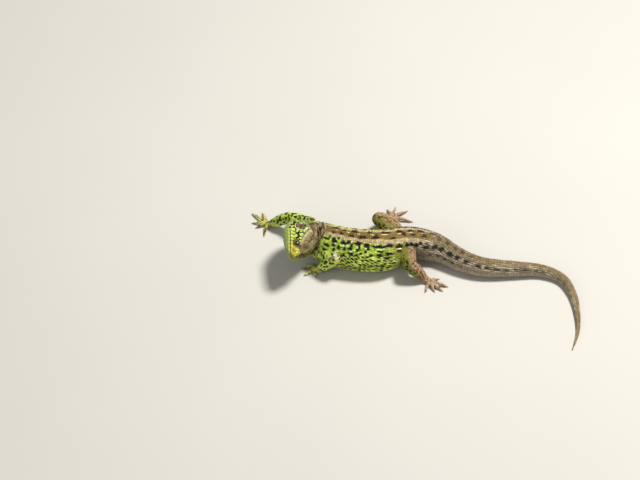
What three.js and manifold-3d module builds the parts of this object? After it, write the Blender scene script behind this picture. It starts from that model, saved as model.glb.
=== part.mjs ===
// A life-size male sand lizard in breeding dress, basking with its forebody raised and its head turned
// over its left shoulder. Millimetres, +Z up, floor at Z = 0, nose towards -X, its left side towards -Y.
// The origin lies on the flat of the belly, under the middle of the trunk.
import * as THREE from "three";
import { mergeVertices } from "three/addons/utils/BufferGeometryUtils.js";
import Module from "manifold-3d";

const wasm = await Module();
wasm.setup();

const V = (x, y, z) => new THREE.Vector3(x, y, z);

// ---------------------------------------------------------------- driving dimensions
const GAP = 0.3; // parting cut between neighbouring pieces
const EYE_GAP = 0.2; // play between an eyeball and its socket
const HEAD_LENGTH = 18.4; // snout tip to the ear openings
const SKULL_END = 20.5;
const NECK_END = 29; // distances from the snout tip, measured along the body
const VENT = 79.5;
const TAIL_CUTS = [VENT, 112, 146, 174, 202];
const EYE_RADIUS = 1.75;
const EYE_BEHIND = 6.5; // middle of the eye behind the snout tip,
const EYE_ASIDE = 2.55; // from the middle plane of the head
const EYE_OVER = 1.65; // and over the mouth line
const MOUTH_CORNER = [-13.6, -2.9]; // in head axes: nose-ward and over the mouth line
const CHEEK_FOOT = [-15.6, -11]; // lower end of the slanting cut behind the jaw
const EAR_LENGTH = 3.2;
const EAR_WIDTH = 2.2;
const EAR_BEHIND = 17.2;
const EAR_OVER = 1.2;
const EAR_PIT_BOTTOM = 6.5; // distance of the pit's bottom from the middle of the head
const EARDRUM_THICKNESS = 0.5;
const CLAW_LENGTH = 1.5;
const CLAW_RADIUS = 0.42;
const CLAW_TIP_RADIUS = 0.26;

// The middle line of the body from the snout tip to the tail tip.
const MIDLINE = new THREE.CatmullRomCurve3(
  [
    V(-38.7, -18.2, 21.2), // snout tip
    V(-35.5, -10, 19), // between the eyes and the ears
    V(-32.7, -2.5, 16.8), // ears
    V(-31, 1.9, 14.2), // neck
    V(-27.5, 3.1, 12.2), // shoulders
    V(-21.4, 1, 10.3),
    V(-15.4, -0.9, 9.5),
    V(-9, -2, 9.1),
    V(-2, -2.8, 8.9), // middle of the trunk
    V(4, -2.5, 8.8),
    V(9, -0.4, 8.4),
    V(14.5, 3.4, 7.7), // hips
    V(20.5, 4.2, 7.2), // vent
    V(26, 2.9, 6.9),
    V(32.6, 1.3, 6),
    V(38, -2.3, 5.5),
    V(44, -6, 5.1),
    V(52, -9.1, 4.7),
    V(60, -10, 4.4),
    V(68, -9.9, 3.95),
    V(82, -10.4, 3),
    V(91, -15, 2.45),
    V(95.6, -24, 1.95),
    V(97.4, -35, 1.5),
    V(97.3, -48, 1),
    V(94, -60.5, 0.6), // tail tip
  ],
  false,
  "centripetal",
);

// Sections of the body: distance from the snout, half width, height over and depth under the middle line.
const SECTIONS = [
  [0, 0.8, 0.5, 0.7],
  [0.35, 1.7, 1.2, 1.5],
  [1.1, 2.4, 1.9, 2.3],
  [2.8, 3.3, 2.7, 3.5],
  [5.5, 4.6, 3.6, 5.1],
  [8.6, 5.8, 4.5, 6.6],
  [11.6, 7.2, 5, 7.7],
  [14.8, 8.2, 5.4, 8.5],
  [17.8, 8.5, 5.6, 8.7],
  [21, 8.4, 5.9, 8.5],
  [25, 8.4, 6.9, 8.3],
  [29, 8.9, 8, 8.3],
  [33, 9.7, 8.7, 8.9],
  [39, 10.4, 9.1, 9.3],
  [47, 10.8, 9.3, 9.3],
  [55, 11, 9.4, 9.3],
  [61, 10.9, 9.3, 9.2],
  [65, 10.3, 8.9, 8.9],
  [69, 9, 8.3, 8],
  [73, 7.7, 7.8, 6.9],
  [78, 7.4, 7.4, 6.9],
  [86, 7.1, 7, 6.9],
  [92, 6.1, 5.9, 6],
  [98, 5.4, 5.3, 5.4],
  [104, 5.1, 5, 5.1],
  [112, 4.7, 4.6, 4.75],
  [126, 3.9, 3.85, 3.95],
  [142, 3, 2.95, 3.1],
  [156, 2.4, 2.35, 2.45],
  [170, 1.85, 1.8, 1.9],
  [184, 1.25, 1.2, 1.3],
  [200, 0.5, 0.5, 0.65],
];
const SQUARENESS_HEAD = 2.8; // exponent of the section: 2 is an ellipse, more is boxier
const SQUARENESS_TRUNK = 2.3;
const HEAD_TAPER = 0.42; // the head and throat are narrower above and wider below by this share
const BODY_SIDES = 24; // sides of a section: trunk, then neck and head, then the two halves of the tail
const HEAD_SIDES = 20;
const TAIL_SIDES = [16, 16, 12, 12];
const HEAD_UP = V(0.87, -0.2, 0.45).normalize(); // the crown's direction: the head is tilted to its left
const BODY_UP = V(0, 0.2, 1).normalize();
const BEND_REACH = 5; // a section's direction is taken over this far to each side of it
const NECK_TWIST = [HEAD_LENGTH, 38]; // stretch over which the tilt of the head fades out
const TAPER_FADE = [18, 32]; // and the one over which its taper does

// Joints of the limbs. Radii run along each segment: near end, belly of the muscle, far end.
const ARM_RADII = [3.2, 3.1, 2.7];
const FOREARM_RADII = [2.7, 2.85, 1.8];
const THIGH_RADII = [4.6, 4.3, 3.5];
const SHANK_RADII = [3.3, 3.2, 1.9];
const LIMBS = {
  left: {
    shoulder: V(-24.4, -5.4, 10.2),
    elbow: V(-17.4, -10.9, 12.2),
    wrist: V(-25.4, -8.8, 2.2),
    palm: V(-27.6, -8.4, 1.1),
    fingers: [V(-27.8, -2.6, 0), V(-31.8, -3.2, 0), V(-34.2, -6.4, 0), V(-33, -11.4, 0), V(-26.8, -12.8, 0)],
    hip: V(16.4, -1, 6.8),
    knee: V(17.6, -12.6, 9.6),
    ankle: V(25, -14.4, 2.4),
    sole: V(27.6, -16, 1.2),
    toes: [V(25.2, -22.6, 0), V(30, -22.4, 0), V(34, -21.8, 0), V(36.6, -18.8, 0), V(32.6, -13.2, 0)],
  },
  right: {
    shoulder: V(-29.5, 13.2, 11.6),
    elbow: V(-40.1, 20, 8.6),
    wrist: V(-48.6, 21.9, 2.2),
    palm: V(-50.6, 22.8, 1.1),
    fingers: [V(-52.2, 14.8, 0), V(-56.6, 20.6, 0), V(-58.4, 24, 0), V(-58.4, 30.6, 0), V(-53.2, 31.2, 0)],
    hip: V(14.2, 8, 6.8),
    knee: V(3.6, 18.6, 8.8),
    ankle: V(8.6, 24.8, 2.5),
    sole: V(10.4, 26.8, 1.2),
    toes: [V(7.6, 33.6, 0), V(12, 35.4, 0), V(18, 32.4, 0), V(20.4, 24.6, 0), V(15.6, 19.8, 0)],
  },
};
const PALM_RADII = [1.5, 1.6, 1.5];
const SOLE_RADII = [1.7, 1.8, 1.6];
const FINGER_RADII = [0.8, 0.72, 0.58];
const TOE_RADII = [0.95, 0.82, 0.62];
const DIGIT_SIDES = 6;
const DIGIT_RISE = 0.9; // how far a digit arches over the floor

// ---------------------------------------------------------------- materials
const dress = {
  crown: { color: 0x8a7458, roughness: 0.6, metalness: 0 },
  cheek: { color: 0xb4bd4a, roughness: 0.6, metalness: 0 },
  back: { color: 0x7f9a35, roughness: 0.65, metalness: 0 },
  tail: { color: 0x857657, roughness: 0.65, metalness: 0 },
  limb: { color: 0x8f9a45, roughness: 0.65, metalness: 0 },
  thigh: { color: 0x9c8258, roughness: 0.65, metalness: 0 },
  eye: { color: 0x2a1c10, roughness: 0.15, metalness: 0 },
  ear: { color: 0x6b5238, roughness: 0.7, metalness: 0 },
};

// ---------------------------------------------------------------- solids
// A three.js geometry as a solid of manifold-3d, with its shared vertices merged.
function solid(geometry) {
  const bare = new THREE.BufferGeometry().setAttribute("position", geometry.getAttribute("position"));
  if (geometry.index) bare.setIndex(geometry.index);
  const merged = mergeVertices(bare, 1e-4);
  const mesh = new wasm.Mesh({
    numProp: 3,
    vertProperties: new Float32Array(merged.attributes.position.array),
    triVerts: new Uint32Array(merged.index.array),
  });
  return new wasm.Manifold(mesh);
}

// A solid of manifold-3d as a named three.js mesh.
function node(name, made, finish) {
  const mesh = made.getMesh();
  const geometry = new THREE.BufferGeometry();
  geometry.setAttribute("position", new THREE.BufferAttribute(new Float32Array(mesh.vertProperties), 3));
  geometry.setIndex(new THREE.BufferAttribute(new Uint32Array(mesh.triVerts), 1));
  geometry.computeVertexNormals();
  const piece = new THREE.Mesh(geometry, new THREE.MeshStandardMaterial(dress[finish]));
  piece.name = name;
  return piece;
}

// A closed skin over a row of rings, each a list of points, with a fan over each end.
function loft(rings) {
  const around = rings[0].length;
  const points = rings.flat();
  const faces = [];
  for (let r = 0; r + 1 < rings.length; r++) {
    for (let i = 0; i < around; i++) {
      const j = (i + 1) % around;
      const [a, b, c, d] = [r * around + i, r * around + j, (r + 1) * around + i, (r + 1) * around + j];
      faces.push(a, d, b, a, c, d);
    }
  }
  for (const [ring, first] of [[rings[0], true], [rings.at(-1), false]]) {
    const centre = points.length;
    const base = first ? 0 : (rings.length - 1) * around;
    points.push(ring.reduce((sum, p) => sum.add(p), V(0, 0, 0)).divideScalar(around));
    for (let i = 0; i < around; i++) {
      const j = (i + 1) % around;
      faces.push(...(first ? [centre, base + i, base + j] : [centre, base + j, base + i]));
    }
  }
  const geometry = new THREE.BufferGeometry().setFromPoints(points);
  geometry.setIndex(faces);
  return solid(geometry);
}

// A ring round centre in the plane of side and up. Its outline is a superellipse whose upper and lower
// halves have their own heights. A taper makes it narrower above and wider below.
function ring(centre, side, up, halfWidth, top, bottom, squareness, around, taper = 0) {
  const points = [];
  const power = 2 / squareness;
  for (let i = 0; i < around; i++) {
    const angle = (2 * Math.PI * i) / around;
    const c = Math.cos(angle);
    const s = Math.sin(angle);
    const level = Math.sign(s) * Math.abs(s) ** power;
    const across = halfWidth * Math.sign(c) * Math.abs(c) ** power * (1 - taper * level);
    const rise = (s > 0 ? top : bottom) * level;
    points.push(centre.clone().addScaledVector(side, across).addScaledVector(up, rise));
  }
  return points;
}

// Turns sorted rows of [key, value, ...] into a smooth function of the key that gives the values.
function smoothTable(rows) {
  const slope = (k, column) => {
    const before = rows[Math.max(k - 1, 0)];
    const after = rows[Math.min(k + 1, rows.length - 1)];
    return (after[column] - before[column]) / (after[0] - before[0]);
  };
  return (key) => {
    const k = Math.max(0, Math.min(rows.length - 2, rows.findIndex((row) => row[0] > key) - 1));
    const last = key >= rows.at(-1)[0] ? rows.length - 2 : k;
    const [from, to] = [rows[last], rows[last + 1]];
    const span = to[0] - from[0];
    const t = Math.max(0, Math.min(1, (key - from[0]) / span));
    return from.slice(1).map((value, n) => {
      const column = n + 1;
      const rise = to[column] - value;
      const [m0, m1] = [slope(last, column) * span, slope(last + 1, column) * span];
      return value + t * (m0 + t * (3 * rise - 2 * m0 - m1 + t * (m0 + m1 - 2 * rise)));
    });
  };
}

// ---------------------------------------------------------------- the body from snout to tail tip
const sectionAt = smoothTable(SECTIONS);
const curveLength = MIDLINE.getLength();
const smoothstep = (from, to, x) => THREE.MathUtils.smoothstep(x, from, to);

const pointAt = (distance) => MIDLINE.getPointAt(Math.max(0, Math.min(1, distance / curveLength)));

// The frame of the body at a distance from the snout: its centre, tailward direction, left side and up.
// The direction is taken over a stretch of the midline, so that sections never cross where it bends.
function bodyFrame(distance) {
  const tailward = pointAt(distance + BEND_REACH).sub(pointAt(distance - BEND_REACH)).normalize();
  const twist = smoothstep(...NECK_TWIST, distance);
  const hint = HEAD_UP.clone().lerp(BODY_UP, twist);
  const up = hint.addScaledVector(tailward, -hint.dot(tailward)).normalize();
  const side = tailward.clone().cross(up).normalize();
  return { centre: pointAt(distance), tailward, side, up };
}

// A length of the body as a solid. grow makes it thicker and longer, to cut a gap into its neighbours.
function bodyLength(from, to, step, around, grow = 0) {
  const steps = Math.max(1, Math.round((to - from) / step));
  const rings = [];
  for (let k = 0; k <= steps; k++) {
    const ends = k === 0 ? -grow : k === steps ? grow : 0;
    const distance = Math.max(0, from + ((to - from) * k) / steps + ends);
    const { centre, side, up } = bodyFrame(distance);
    const [halfWidth, top, bottom] = sectionAt(distance).map((size) => size + grow);
    const rounder = smoothstep(HEAD_LENGTH, NECK_END, distance);
    const boxy = SQUARENESS_HEAD + (SQUARENESS_TRUNK - SQUARENESS_HEAD) * rounder;
    const taper = HEAD_TAPER * (1 - smoothstep(...TAPER_FADE, distance));
    rings.push(ring(centre, side, up, halfWidth, top, bottom, boxy, around, taper));
  }
  return loft(rings);
}

// Everything under the floor is cut away, which leaves small flats where the animal rests.
const BELOW = solid(new THREE.BoxGeometry(400, 400, 20).translate(0, 0, -10));
const aboveFloor = (made) => made.subtract(BELOW);

// The largest of the bodies a cut leaves: the slivers of a limb inside the torso are dropped.
const larger = (a, b) => (b.volume() > a.volume() ? b : a);
const largest = (made) => made.decompose().reduce(larger);

// ---------------------------------------------------------------- the head
const headAxes = bodyFrame(HEAD_LENGTH / 3);

// Places a geometry made in head axes (X nose-ward, Y left, Z crown) at a point of the head: how far
// behind the snout tip, to the left and over the mouth line.
function inHead(geometry, behind, left, over) {
  const { tailward, side, up } = headAxes;
  const place = pointAt(0).addScaledVector(tailward, behind);
  place.addScaledVector(side, left).addScaledVector(up, over);
  const turn = new THREE.Matrix4().makeBasis(tailward.clone().negate(), side, up).setPosition(place);
  return solid(geometry.applyMatrix4(turn));
}

// The block of space that holds the lower jaw: under the mouth line and in front of a slanting cheek line.
function jawSpace(grow) {
  const outline = new THREE.Shape();
  outline.moveTo(3, 0.1 + grow);
  outline.lineTo(-1, -0.1 + grow);
  outline.lineTo(-3, -0.4 + grow);
  outline.quadraticCurveTo(-10, -1.7 + grow, MOUTH_CORNER[0] - grow, MOUTH_CORNER[1] + grow);
  outline.lineTo(CHEEK_FOOT[0] - grow, CHEEK_FOOT[1]);
  outline.lineTo(3, CHEEK_FOOT[1]);
  const block = new THREE.ExtrudeGeometry(outline, { depth: 20, bevelEnabled: false, curveSegments: 6 });
  block.translate(0, 0, -10); // drawn in X and Y and extruded along Z
  block.rotateX(Math.PI / 2); // so that the outline's Y becomes the head's up
  return inHead(block, 0, 0, 0);
}

function eyeball(side, grow) {
  return inHead(new THREE.SphereGeometry(EYE_RADIUS + grow, 12, 8), EYE_BEHIND, side * EYE_ASIDE, EYE_OVER);
}

// The eardrum is a flat oval disc at the bottom of a shallow pit in the cheek.
function earOval(side, grow, bottom, depth) {
  const oval = new THREE.CylinderGeometry(1, 1, depth, 14);
  oval.scale(EAR_WIDTH / 2 + grow, 1, EAR_LENGTH / 2 + grow);
  return inHead(oval, EAR_BEHIND, side * (bottom + depth / 2), EAR_OVER);
}

const earPit = (side) => earOval(side, GAP, EAR_PIT_BOTTOM, 4);
const eardrum = (side) => earOval(side, 0, EAR_PIT_BOTTOM + GAP, EARDRUM_THICKNESS);

const skull = (grow) => bodyLength(0, SKULL_END, 1.15, HEAD_SIDES, grow);
const jaw = skull(0).intersect(jawSpace(-GAP / 2));
let head = skull(0).subtract(jawSpace(GAP / 2));
for (const side of [1, -1]) {
  head = head.subtract(eyeball(side, EYE_GAP)).subtract(earPit(side));
}

// ---------------------------------------------------------------- limbs
// A smooth curve through three values, at t = 0, 0.5 and 1.
const through = ([near, middle, far], t) =>
  near * (1 - t) * (1 - 2 * t) + 4 * middle * t * (1 - t) - far * t * (1 - 2 * t);

const roundRing = (centre, side, up, radius, around) =>
  ring(centre, side, up, radius, radius, radius, 2, around);

// A limb segment between two joints: round, with a radius for the near end, the middle and the far end,
// and a dome on each end.
function segment(from, to, radii, around, grow = 0) {
  const along = to.clone().sub(from);
  const length = along.length();
  const ahead = along.divideScalar(length);
  const side = ahead.clone().cross(Math.abs(ahead.z) > 0.9 ? V(1, 0, 0) : V(0, 0, 1)).normalize();
  const up = side.clone().cross(ahead).normalize();
  const grown = radii.map((radius) => radius + grow);
  const [near, , far] = grown;
  const rings = [];
  const put = (distance, radius) => {
    const centre = from.clone().addScaledVector(ahead, distance);
    rings.push(roundRing(centre, side, up, radius, around));
  };
  for (const angle of [80, 45]) {
    const turn = THREE.MathUtils.degToRad(angle);
    put(-near * Math.sin(turn), near * Math.cos(turn));
  }
  for (const t of [0, 0.25, 0.5, 0.75, 1]) put(length * t, through(grown, t));
  for (const angle of [45, 80]) {
    const turn = THREE.MathUtils.degToRad(angle);
    put(length + far * Math.sin(turn), far * Math.cos(turn));
  }
  return loft(rings);
}

// A digit arches from the palm to its tip on the floor and ends in a claw.
function digit(root, tip, radii) {
  const flat = tip.clone().sub(root).setZ(0);
  const reach = flat.length();
  const ahead = flat.divideScalar(reach);
  const side = ahead.clone().cross(V(0, 0, 1)).normalize();
  const up = V(0, 0, 1);
  const fleshReach = reach - CLAW_LENGTH;
  const rings = [];
  const steps = 3;
  for (let k = 0; k <= steps; k++) {
    const t = k / steps;
    const radius = through(radii, t);
    const height = radius * 0.94 + DIGIT_RISE * Math.sin(Math.PI * Math.min(1, 0.25 + t * 0.75));
    const centre = root.clone().addScaledVector(ahead, fleshReach * t).setZ(height);
    rings.push(roundRing(centre, side, up, radius, DIGIT_SIDES));
  }
  const clawSteps = [
    [0.1, CLAW_RADIUS, 0.55],
    [1, CLAW_TIP_RADIUS, CLAW_TIP_RADIUS * 0.95],
  ];
  for (const [t, radius, height] of clawSteps) {
    const centre = root.clone().addScaledVector(ahead, fleshReach + CLAW_LENGTH * t).setZ(height);
    rings.push(roundRing(centre, side, up, radius, DIGIT_SIDES));
  }
  return loft(rings);
}

// A hand or foot: a low palm from the last joint, and five digits that fan out from it.
function paw(joint, palm, tips, palmRadii, digitRadii) {
  let made = segment(joint, palm, palmRadii, 10);
  for (const tip of tips) {
    const root = palm.clone().lerp(tip, 0.12);
    made = made.add(digit(root, tip, digitRadii));
  }
  return made;
}

// ---------------------------------------------------------------- the pieces, parted by thin cuts
const lizard = new THREE.Group();
const add = (name, made, finish) => lizard.add(node(name, aboveFloor(made), finish));

add("head", head, "crown");
add("lower_jaw", jaw, "cheek");
for (const [word, side] of [["left", 1], ["right", -1]]) {
  add(`eye_${word}`, eyeball(side, 0), "eye");
  add(`ear_${word}`, eardrum(side), "ear");
}
const neck = (grow) => bodyLength(SKULL_END + GAP, NECK_END, 1.4, HEAD_SIDES, grow);
const trunk = (grow) => bodyLength(NECK_END + GAP, VENT, 3.1, BODY_SIDES, grow);
const tailLength = (k, grow) => bodyLength(TAIL_CUTS[k] + GAP, TAIL_CUTS[k + 1], 4, TAIL_SIDES[k], grow);
add("neck", neck(0), "cheek");
add("trunk", trunk(0), "back");
const TAIL_NAMES = ["tail_base", "tail_middle", "tail_rear", "tail_tip"];
TAIL_NAMES.forEach((name, k) => add(name, tailLength(k, 0), "tail"));

// A limb gives way to the torso and to the segment beyond it, so each joint is a rounded socket.
// The torso is taken as it is and grown by the gap.
const torsoGrown = (grow) => skull(grow).add(neck(grow)).add(trunk(grow)).add(tailLength(0, grow));
const torso = torsoGrown(0).add(torsoGrown(GAP));
const fit = (made, next) => largest(next ? made.subtract(torso).subtract(next) : made.subtract(torso));
for (const [word, limb] of Object.entries(LIMBS)) {
  const forearm = (grow) => segment(limb.elbow, limb.wrist, FOREARM_RADII, 10, grow);
  const shank = (grow) => segment(limb.knee, limb.ankle, SHANK_RADII, 10, grow);
  const arm = segment(limb.shoulder, limb.elbow, ARM_RADII, 10);
  const thigh = segment(limb.hip, limb.knee, THIGH_RADII, 12);
  const hand = paw(limb.wrist, limb.palm, limb.fingers, PALM_RADII, FINGER_RADII);
  const foot = paw(limb.ankle, limb.sole, limb.toes, SOLE_RADII, TOE_RADII);
  add(`upper_arm_${word}`, fit(arm, forearm(GAP)), "limb");
  add(`forearm_${word}`, fit(forearm(0)), "limb");
  add(`hand_${word}`, fit(hand, forearm(GAP)), "limb");
  add(`thigh_${word}`, fit(thigh, shank(GAP)), "thigh");
  add(`shank_${word}`, fit(shank(0)), "thigh");
  add(`foot_${word}`, fit(foot, shank(GAP)), "thigh");
}

export default lizard;
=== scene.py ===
# %% [markdown]
# # A sand lizard at life size
# The animal is a basking male sand lizard: one skin, thousands of small horny scales that lie on it like
# roof tiles, two wet eyes, two eardrums and twenty claws. A sculptor would model the skin first and press
# scales into it. Here both are worked out with numpy from the same few curves, so the scales always follow
# the skin, and one set of marking functions colours both. Lengths are in millimetres until a mesh is made.

# %% The frame
from itertools import product
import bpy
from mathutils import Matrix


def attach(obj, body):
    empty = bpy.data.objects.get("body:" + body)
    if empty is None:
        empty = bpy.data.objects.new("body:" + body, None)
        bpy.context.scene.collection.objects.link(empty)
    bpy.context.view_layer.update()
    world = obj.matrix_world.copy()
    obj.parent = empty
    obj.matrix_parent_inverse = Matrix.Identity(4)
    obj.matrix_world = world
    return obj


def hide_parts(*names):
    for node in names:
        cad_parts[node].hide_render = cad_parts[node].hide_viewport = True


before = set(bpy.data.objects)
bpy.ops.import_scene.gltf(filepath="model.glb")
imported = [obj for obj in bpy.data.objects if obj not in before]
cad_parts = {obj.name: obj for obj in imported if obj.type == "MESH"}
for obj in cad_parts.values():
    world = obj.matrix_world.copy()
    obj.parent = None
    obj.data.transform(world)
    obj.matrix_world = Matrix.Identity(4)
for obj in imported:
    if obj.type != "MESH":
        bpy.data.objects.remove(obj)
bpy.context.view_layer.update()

from types import SimpleNamespace

import bmesh
import bpy
import numpy as np
from mathutils import Vector

MM = 0.001

# %% [markdown]
# ## Floor, light and camera
# A studio for a small animal is a pale sheet, one big soft lamp above and a weaker one in front. The camera
# looks down on the back from the animal's left, through a long lens, which keeps the head and tail at one
# scale. It is placed by the spot it looks at and by its height above the horizon.

# %% The camera
CAMERA_HEIGHT_DEG = 46
CAMERA_DISTANCE = 2.0
FRAME_WIDTH = 0.3072
SENSOR_MM = 36
AIM = Vector((-0.02496, 0.0, 0.01347))

camera_angle = np.radians(CAMERA_HEIGHT_DEG)
camera_back = Vector((0, -np.cos(camera_angle), np.sin(camera_angle)))
camera_data = bpy.data.cameras.new("camera")
camera_data.sensor_width = SENSOR_MM
camera_data.lens = SENSOR_MM * CAMERA_DISTANCE / FRAME_WIDTH
camera_data.clip_start, camera_data.clip_end = 0.01, 50
camera = bpy.data.objects.new("camera", camera_data)
camera.location = AIM + camera_back * CAMERA_DISTANCE
camera.rotation_euler = (np.pi / 2 - camera_angle, 0, 0)
bpy.context.scene.collection.objects.link(camera)
bpy.context.scene.camera = camera
print("camera at", [round(v, 3) for v in camera.location], "lens", round(camera_data.lens, 1))


# %% The lamps and the floor
def lamp(name, place, width, watts, colour):
    """A square lamp of that width in metres, turned to face the animal."""
    data = bpy.data.lights.new(name, "AREA")
    data.size, data.energy, data.color = width, watts, colour
    made = bpy.data.objects.new(name, data)
    made.location = place
    made.rotation_euler = (-Vector(place)).to_track_quat("-Z", "Y").to_euler()
    bpy.context.scene.collection.objects.link(made)


lamp("key_lamp", (0.35, 0.15, 0.85), 0.2, 13.0, (1.0, 0.955, 0.87))
lamp("fill_lamp", (-0.7, -0.9, 0.6), 0.9, 5.0, (1.0, 0.97, 0.92))

world = bpy.data.worlds.new("studio")
world.use_nodes = True
sky = world.node_tree.nodes["Background"].inputs
sky["Color"].default_value = (1.0, 0.96, 0.9, 1)
sky["Strength"].default_value = 0.28
bpy.context.scene.world = world
bpy.context.scene.view_settings.view_transform = "Standard"

FLOOR_HALF = 1.5
floor_mesh = bpy.data.meshes.new("floor")
floor_corners = [(FLOOR_HALF * x, FLOOR_HALF * y, 0) for x, y in ((-1, -1), (1, -1), (1, 1), (-1, 1))]
floor_mesh.from_pydata(floor_corners, [], [(0, 1, 2, 3)])
floor = bpy.data.objects.new("floor", floor_mesh)
bpy.context.scene.collection.objects.link(floor)


# %% [markdown]
# ## The body's own coordinates
# Everything on a lizard runs along its backbone: scales, stripes and spots keep their place when the animal
# bends. So every place on the body is given by two numbers, the distance from the snout along the midline,
# and the share of the way round from the spine (0) to the middle of the belly (1 on the left, -1 on the
# right). A sweep along the midline turns the two numbers into a point in space.


# %% The midline
def cubic(t, start, rise, slope, end_slope):
    """From start a cubic climbs by rise while t goes from 0 to 1, with a given slope at each end."""
    return start + t * (slope + t * (3 * rise - 2 * slope - end_slope + t * (slope + end_slope - 2 * rise)))


def curve_through(points, steps=60):
    """Centripetal Catmull-Rom: between two points runs a cubic, whose end slopes come from the points on
    either side, weighted by the square roots of the distances between them."""
    ends = np.vstack([2 * points[0] - points[1], points, 2 * points[-1] - points[-2]])
    spans = np.sqrt(np.linalg.norm(np.diff(ends, axis=0), axis=1))
    t = np.linspace(0, 1, steps, endpoint=False)[:, None]
    parts = []
    for k in range(len(points) - 1):
        a, b, c, d = ends[k : k + 4]
        before, here, after = spans[k : k + 3]
        start = here * ((b - a) / before - (c - a) / (before + here) + (c - b) / here)
        end = here * ((c - b) / here - (d - b) / (here + after) + (d - c) / after)
        parts.append(cubic(t, b, c - b, start, end))
    return np.vstack(parts + [points[-1:]])


MIDLINE = np.array([
    (-38.7, -18.2, 21.2), (-35.5, -10, 19), (-32.7, -2.5, 16.8), (-31, 1.9, 14.2), (-27.5, 3.1, 12.2),
    (-21.4, 1, 10.3), (-15.4, -0.9, 9.5), (-9, -2, 9.1), (-2, -2.8, 8.9), (4, -2.5, 8.8), (9, -0.4, 8.4),
    (14.5, 3.4, 7.7), (20.5, 4.2, 7.2), (26, 2.9, 6.9), (32.6, 1.3, 6), (38, -2.3, 5.5), (44, -6, 5.1),
    (52, -9.1, 4.7), (60, -10, 4.4), (68, -9.9, 3.95), (82, -10.4, 3), (91, -15, 2.45), (95.6, -24, 1.95),
    (97.4, -35, 1.5), (97.3, -48, 1), (94, -60.5, 0.6),
])
CENTRES = curve_through(MIDLINE)
STATIONS = np.r_[0, np.cumsum(np.linalg.norm(np.diff(CENTRES, axis=0), axis=1))]
BODY_LENGTH = STATIONS[-1]
HEAD_LENGTH, NECK_END, VENT = 18.4, 29.5, 79.5


def centre(distance):
    """The midline's point at that distance from the snout."""
    return np.stack([np.interp(distance, STATIONS, CENTRES[:, k]) for k in range(3)], -1)


print("midline", round(BODY_LENGTH, 1), "mm")


# %% The directions at each point of the midline
HEAD_UP, BODY_UP = (0.87, -0.2, 0.45), (0, 0.2, 1)
LEVEL_FROM = 38
BEND_REACH = 5


def unit(v):
    """Each vector at length one."""
    return v / np.maximum(np.linalg.norm(v, axis=-1, keepdims=True), 1e-9)


def smoothstep(low, high, x):
    """0 below low, 1 above high, and 3t^2 - 2t^3 of the share t between them."""
    t = np.clip((x - low) / (high - low), 0, 1)
    return t * t * (3 - 2 * t)


def fade(low, high, x):
    """1 below low, 0 above high: the opposite of smoothstep."""
    return 1 - smoothstep(low, high, x)


def bell(q):
    """The bell curve e to the power -q^2, 1 at the middle and 0.37 one width away."""
    return np.exp(-(q**2))


def axes(distance):
    """Three directions: tailward is the chord 5 mm either side, up is a hint made square to it that turns
    from the tilted crown to the level back, and left is tailward x up."""
    distance = np.asarray(distance, float)
    reach = [centre(np.clip(distance + r, 0, BODY_LENGTH)) for r in (BEND_REACH, -BEND_REACH)]
    tailward = unit(reach[0] - reach[1])
    share = smoothstep(HEAD_LENGTH, LEVEL_FROM, distance)[..., None]
    hint = unit(np.array(HEAD_UP)) * (1 - share) + unit(np.array(BODY_UP)) * share
    up = unit(hint - (hint * tailward).sum(-1, keepdims=True) * tailward)
    return tailward, np.cross(tailward, up), up


# %% The sections
# distance from the snout, half width, height above the midline, depth below it
SECTIONS = np.array([
    (0, 0.8, 0.5, 0.7), (0.35, 1.7, 1.2, 1.5), (1.1, 2.4, 1.9, 2.3), (2.8, 3.3, 2.7, 3.5),
    (5.5, 4.6, 3.6, 5.1), (8.6, 5.8, 4.5, 6.6), (11.6, 7.2, 5, 7.7), (14.8, 8.2, 5.4, 8.5),
    (17.8, 8.5, 5.6, 8.7), (21, 8.4, 5.9, 8.5), (25, 8.4, 6.9, 8.3), (29, 8.9, 8, 8.3),
    (33, 9.7, 8.7, 8.9), (39, 10.4, 9.1, 9.3), (47, 10.8, 9.3, 9.3), (55, 11, 9.4, 9.3),
    (61, 10.9, 9.3, 9.2), (65, 10.3, 8.9, 8.9), (69, 9, 8.3, 8), (73, 7.7, 7.8, 6.9),
    (78, 7.4, 7.4, 6.9), (86, 7.1, 7, 6.9), (92, 6.1, 5.9, 6), (98, 5.4, 5.3, 5.4),
    (104, 5.1, 5, 5.1), (112, 4.7, 4.6, 4.75), (126, 3.9, 3.85, 3.95), (142, 3, 2.95, 3.1),
    (156, 2.4, 2.35, 2.45), (170, 1.85, 1.8, 1.9), (184, 1.25, 1.2, 1.3), (200, 0.5, 0.5, 0.65),
])


def section(distance):
    """Half width, height and depth there: a cubic between rows, whose slopes are the neighbours' chord."""
    distance = np.asarray(distance, float)
    rows, last = SECTIONS, len(SECTIONS) - 1
    k = np.clip(np.searchsorted(rows[:, 0], distance, side="right") - 1, 0, last - 1)
    index = np.arange(last + 1)
    before, after = np.clip(index - 1, 0, None), np.clip(index + 1, None, last)
    slopes = (rows[after, 1:] - rows[before, 1:]) / (rows[after, :1] - rows[before, :1])
    span = (rows[k + 1, 0] - rows[k, 0])[..., None]
    t = np.clip((distance - rows[k, 0])[..., None] / span, 0, 1)
    values = cubic(t, rows[k, 1:], rows[k + 1, 1:] - rows[k, 1:], slopes[k] * span, slopes[k + 1] * span)
    return values[..., 0], values[..., 1], values[..., 2]


HEAD_POWER, BODY_POWER = 2.8, 2.3
HEAD_TAPER = 0.42


def squareness(distance):
    """The superellipse's power, which falls from the boxy head to the rounder body."""
    return HEAD_POWER - (HEAD_POWER - BODY_POWER) * smoothstep(HEAD_LENGTH, 29, distance)


def taper(distance, level):
    """The head is narrow at the crown and wide at the jaws: width x 1 - taper x level, faded out on the
    neck. level is -1 at the belly side and 1 on top."""
    return 1 - HEAD_TAPER * fade(18, 32, distance) * level


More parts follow.
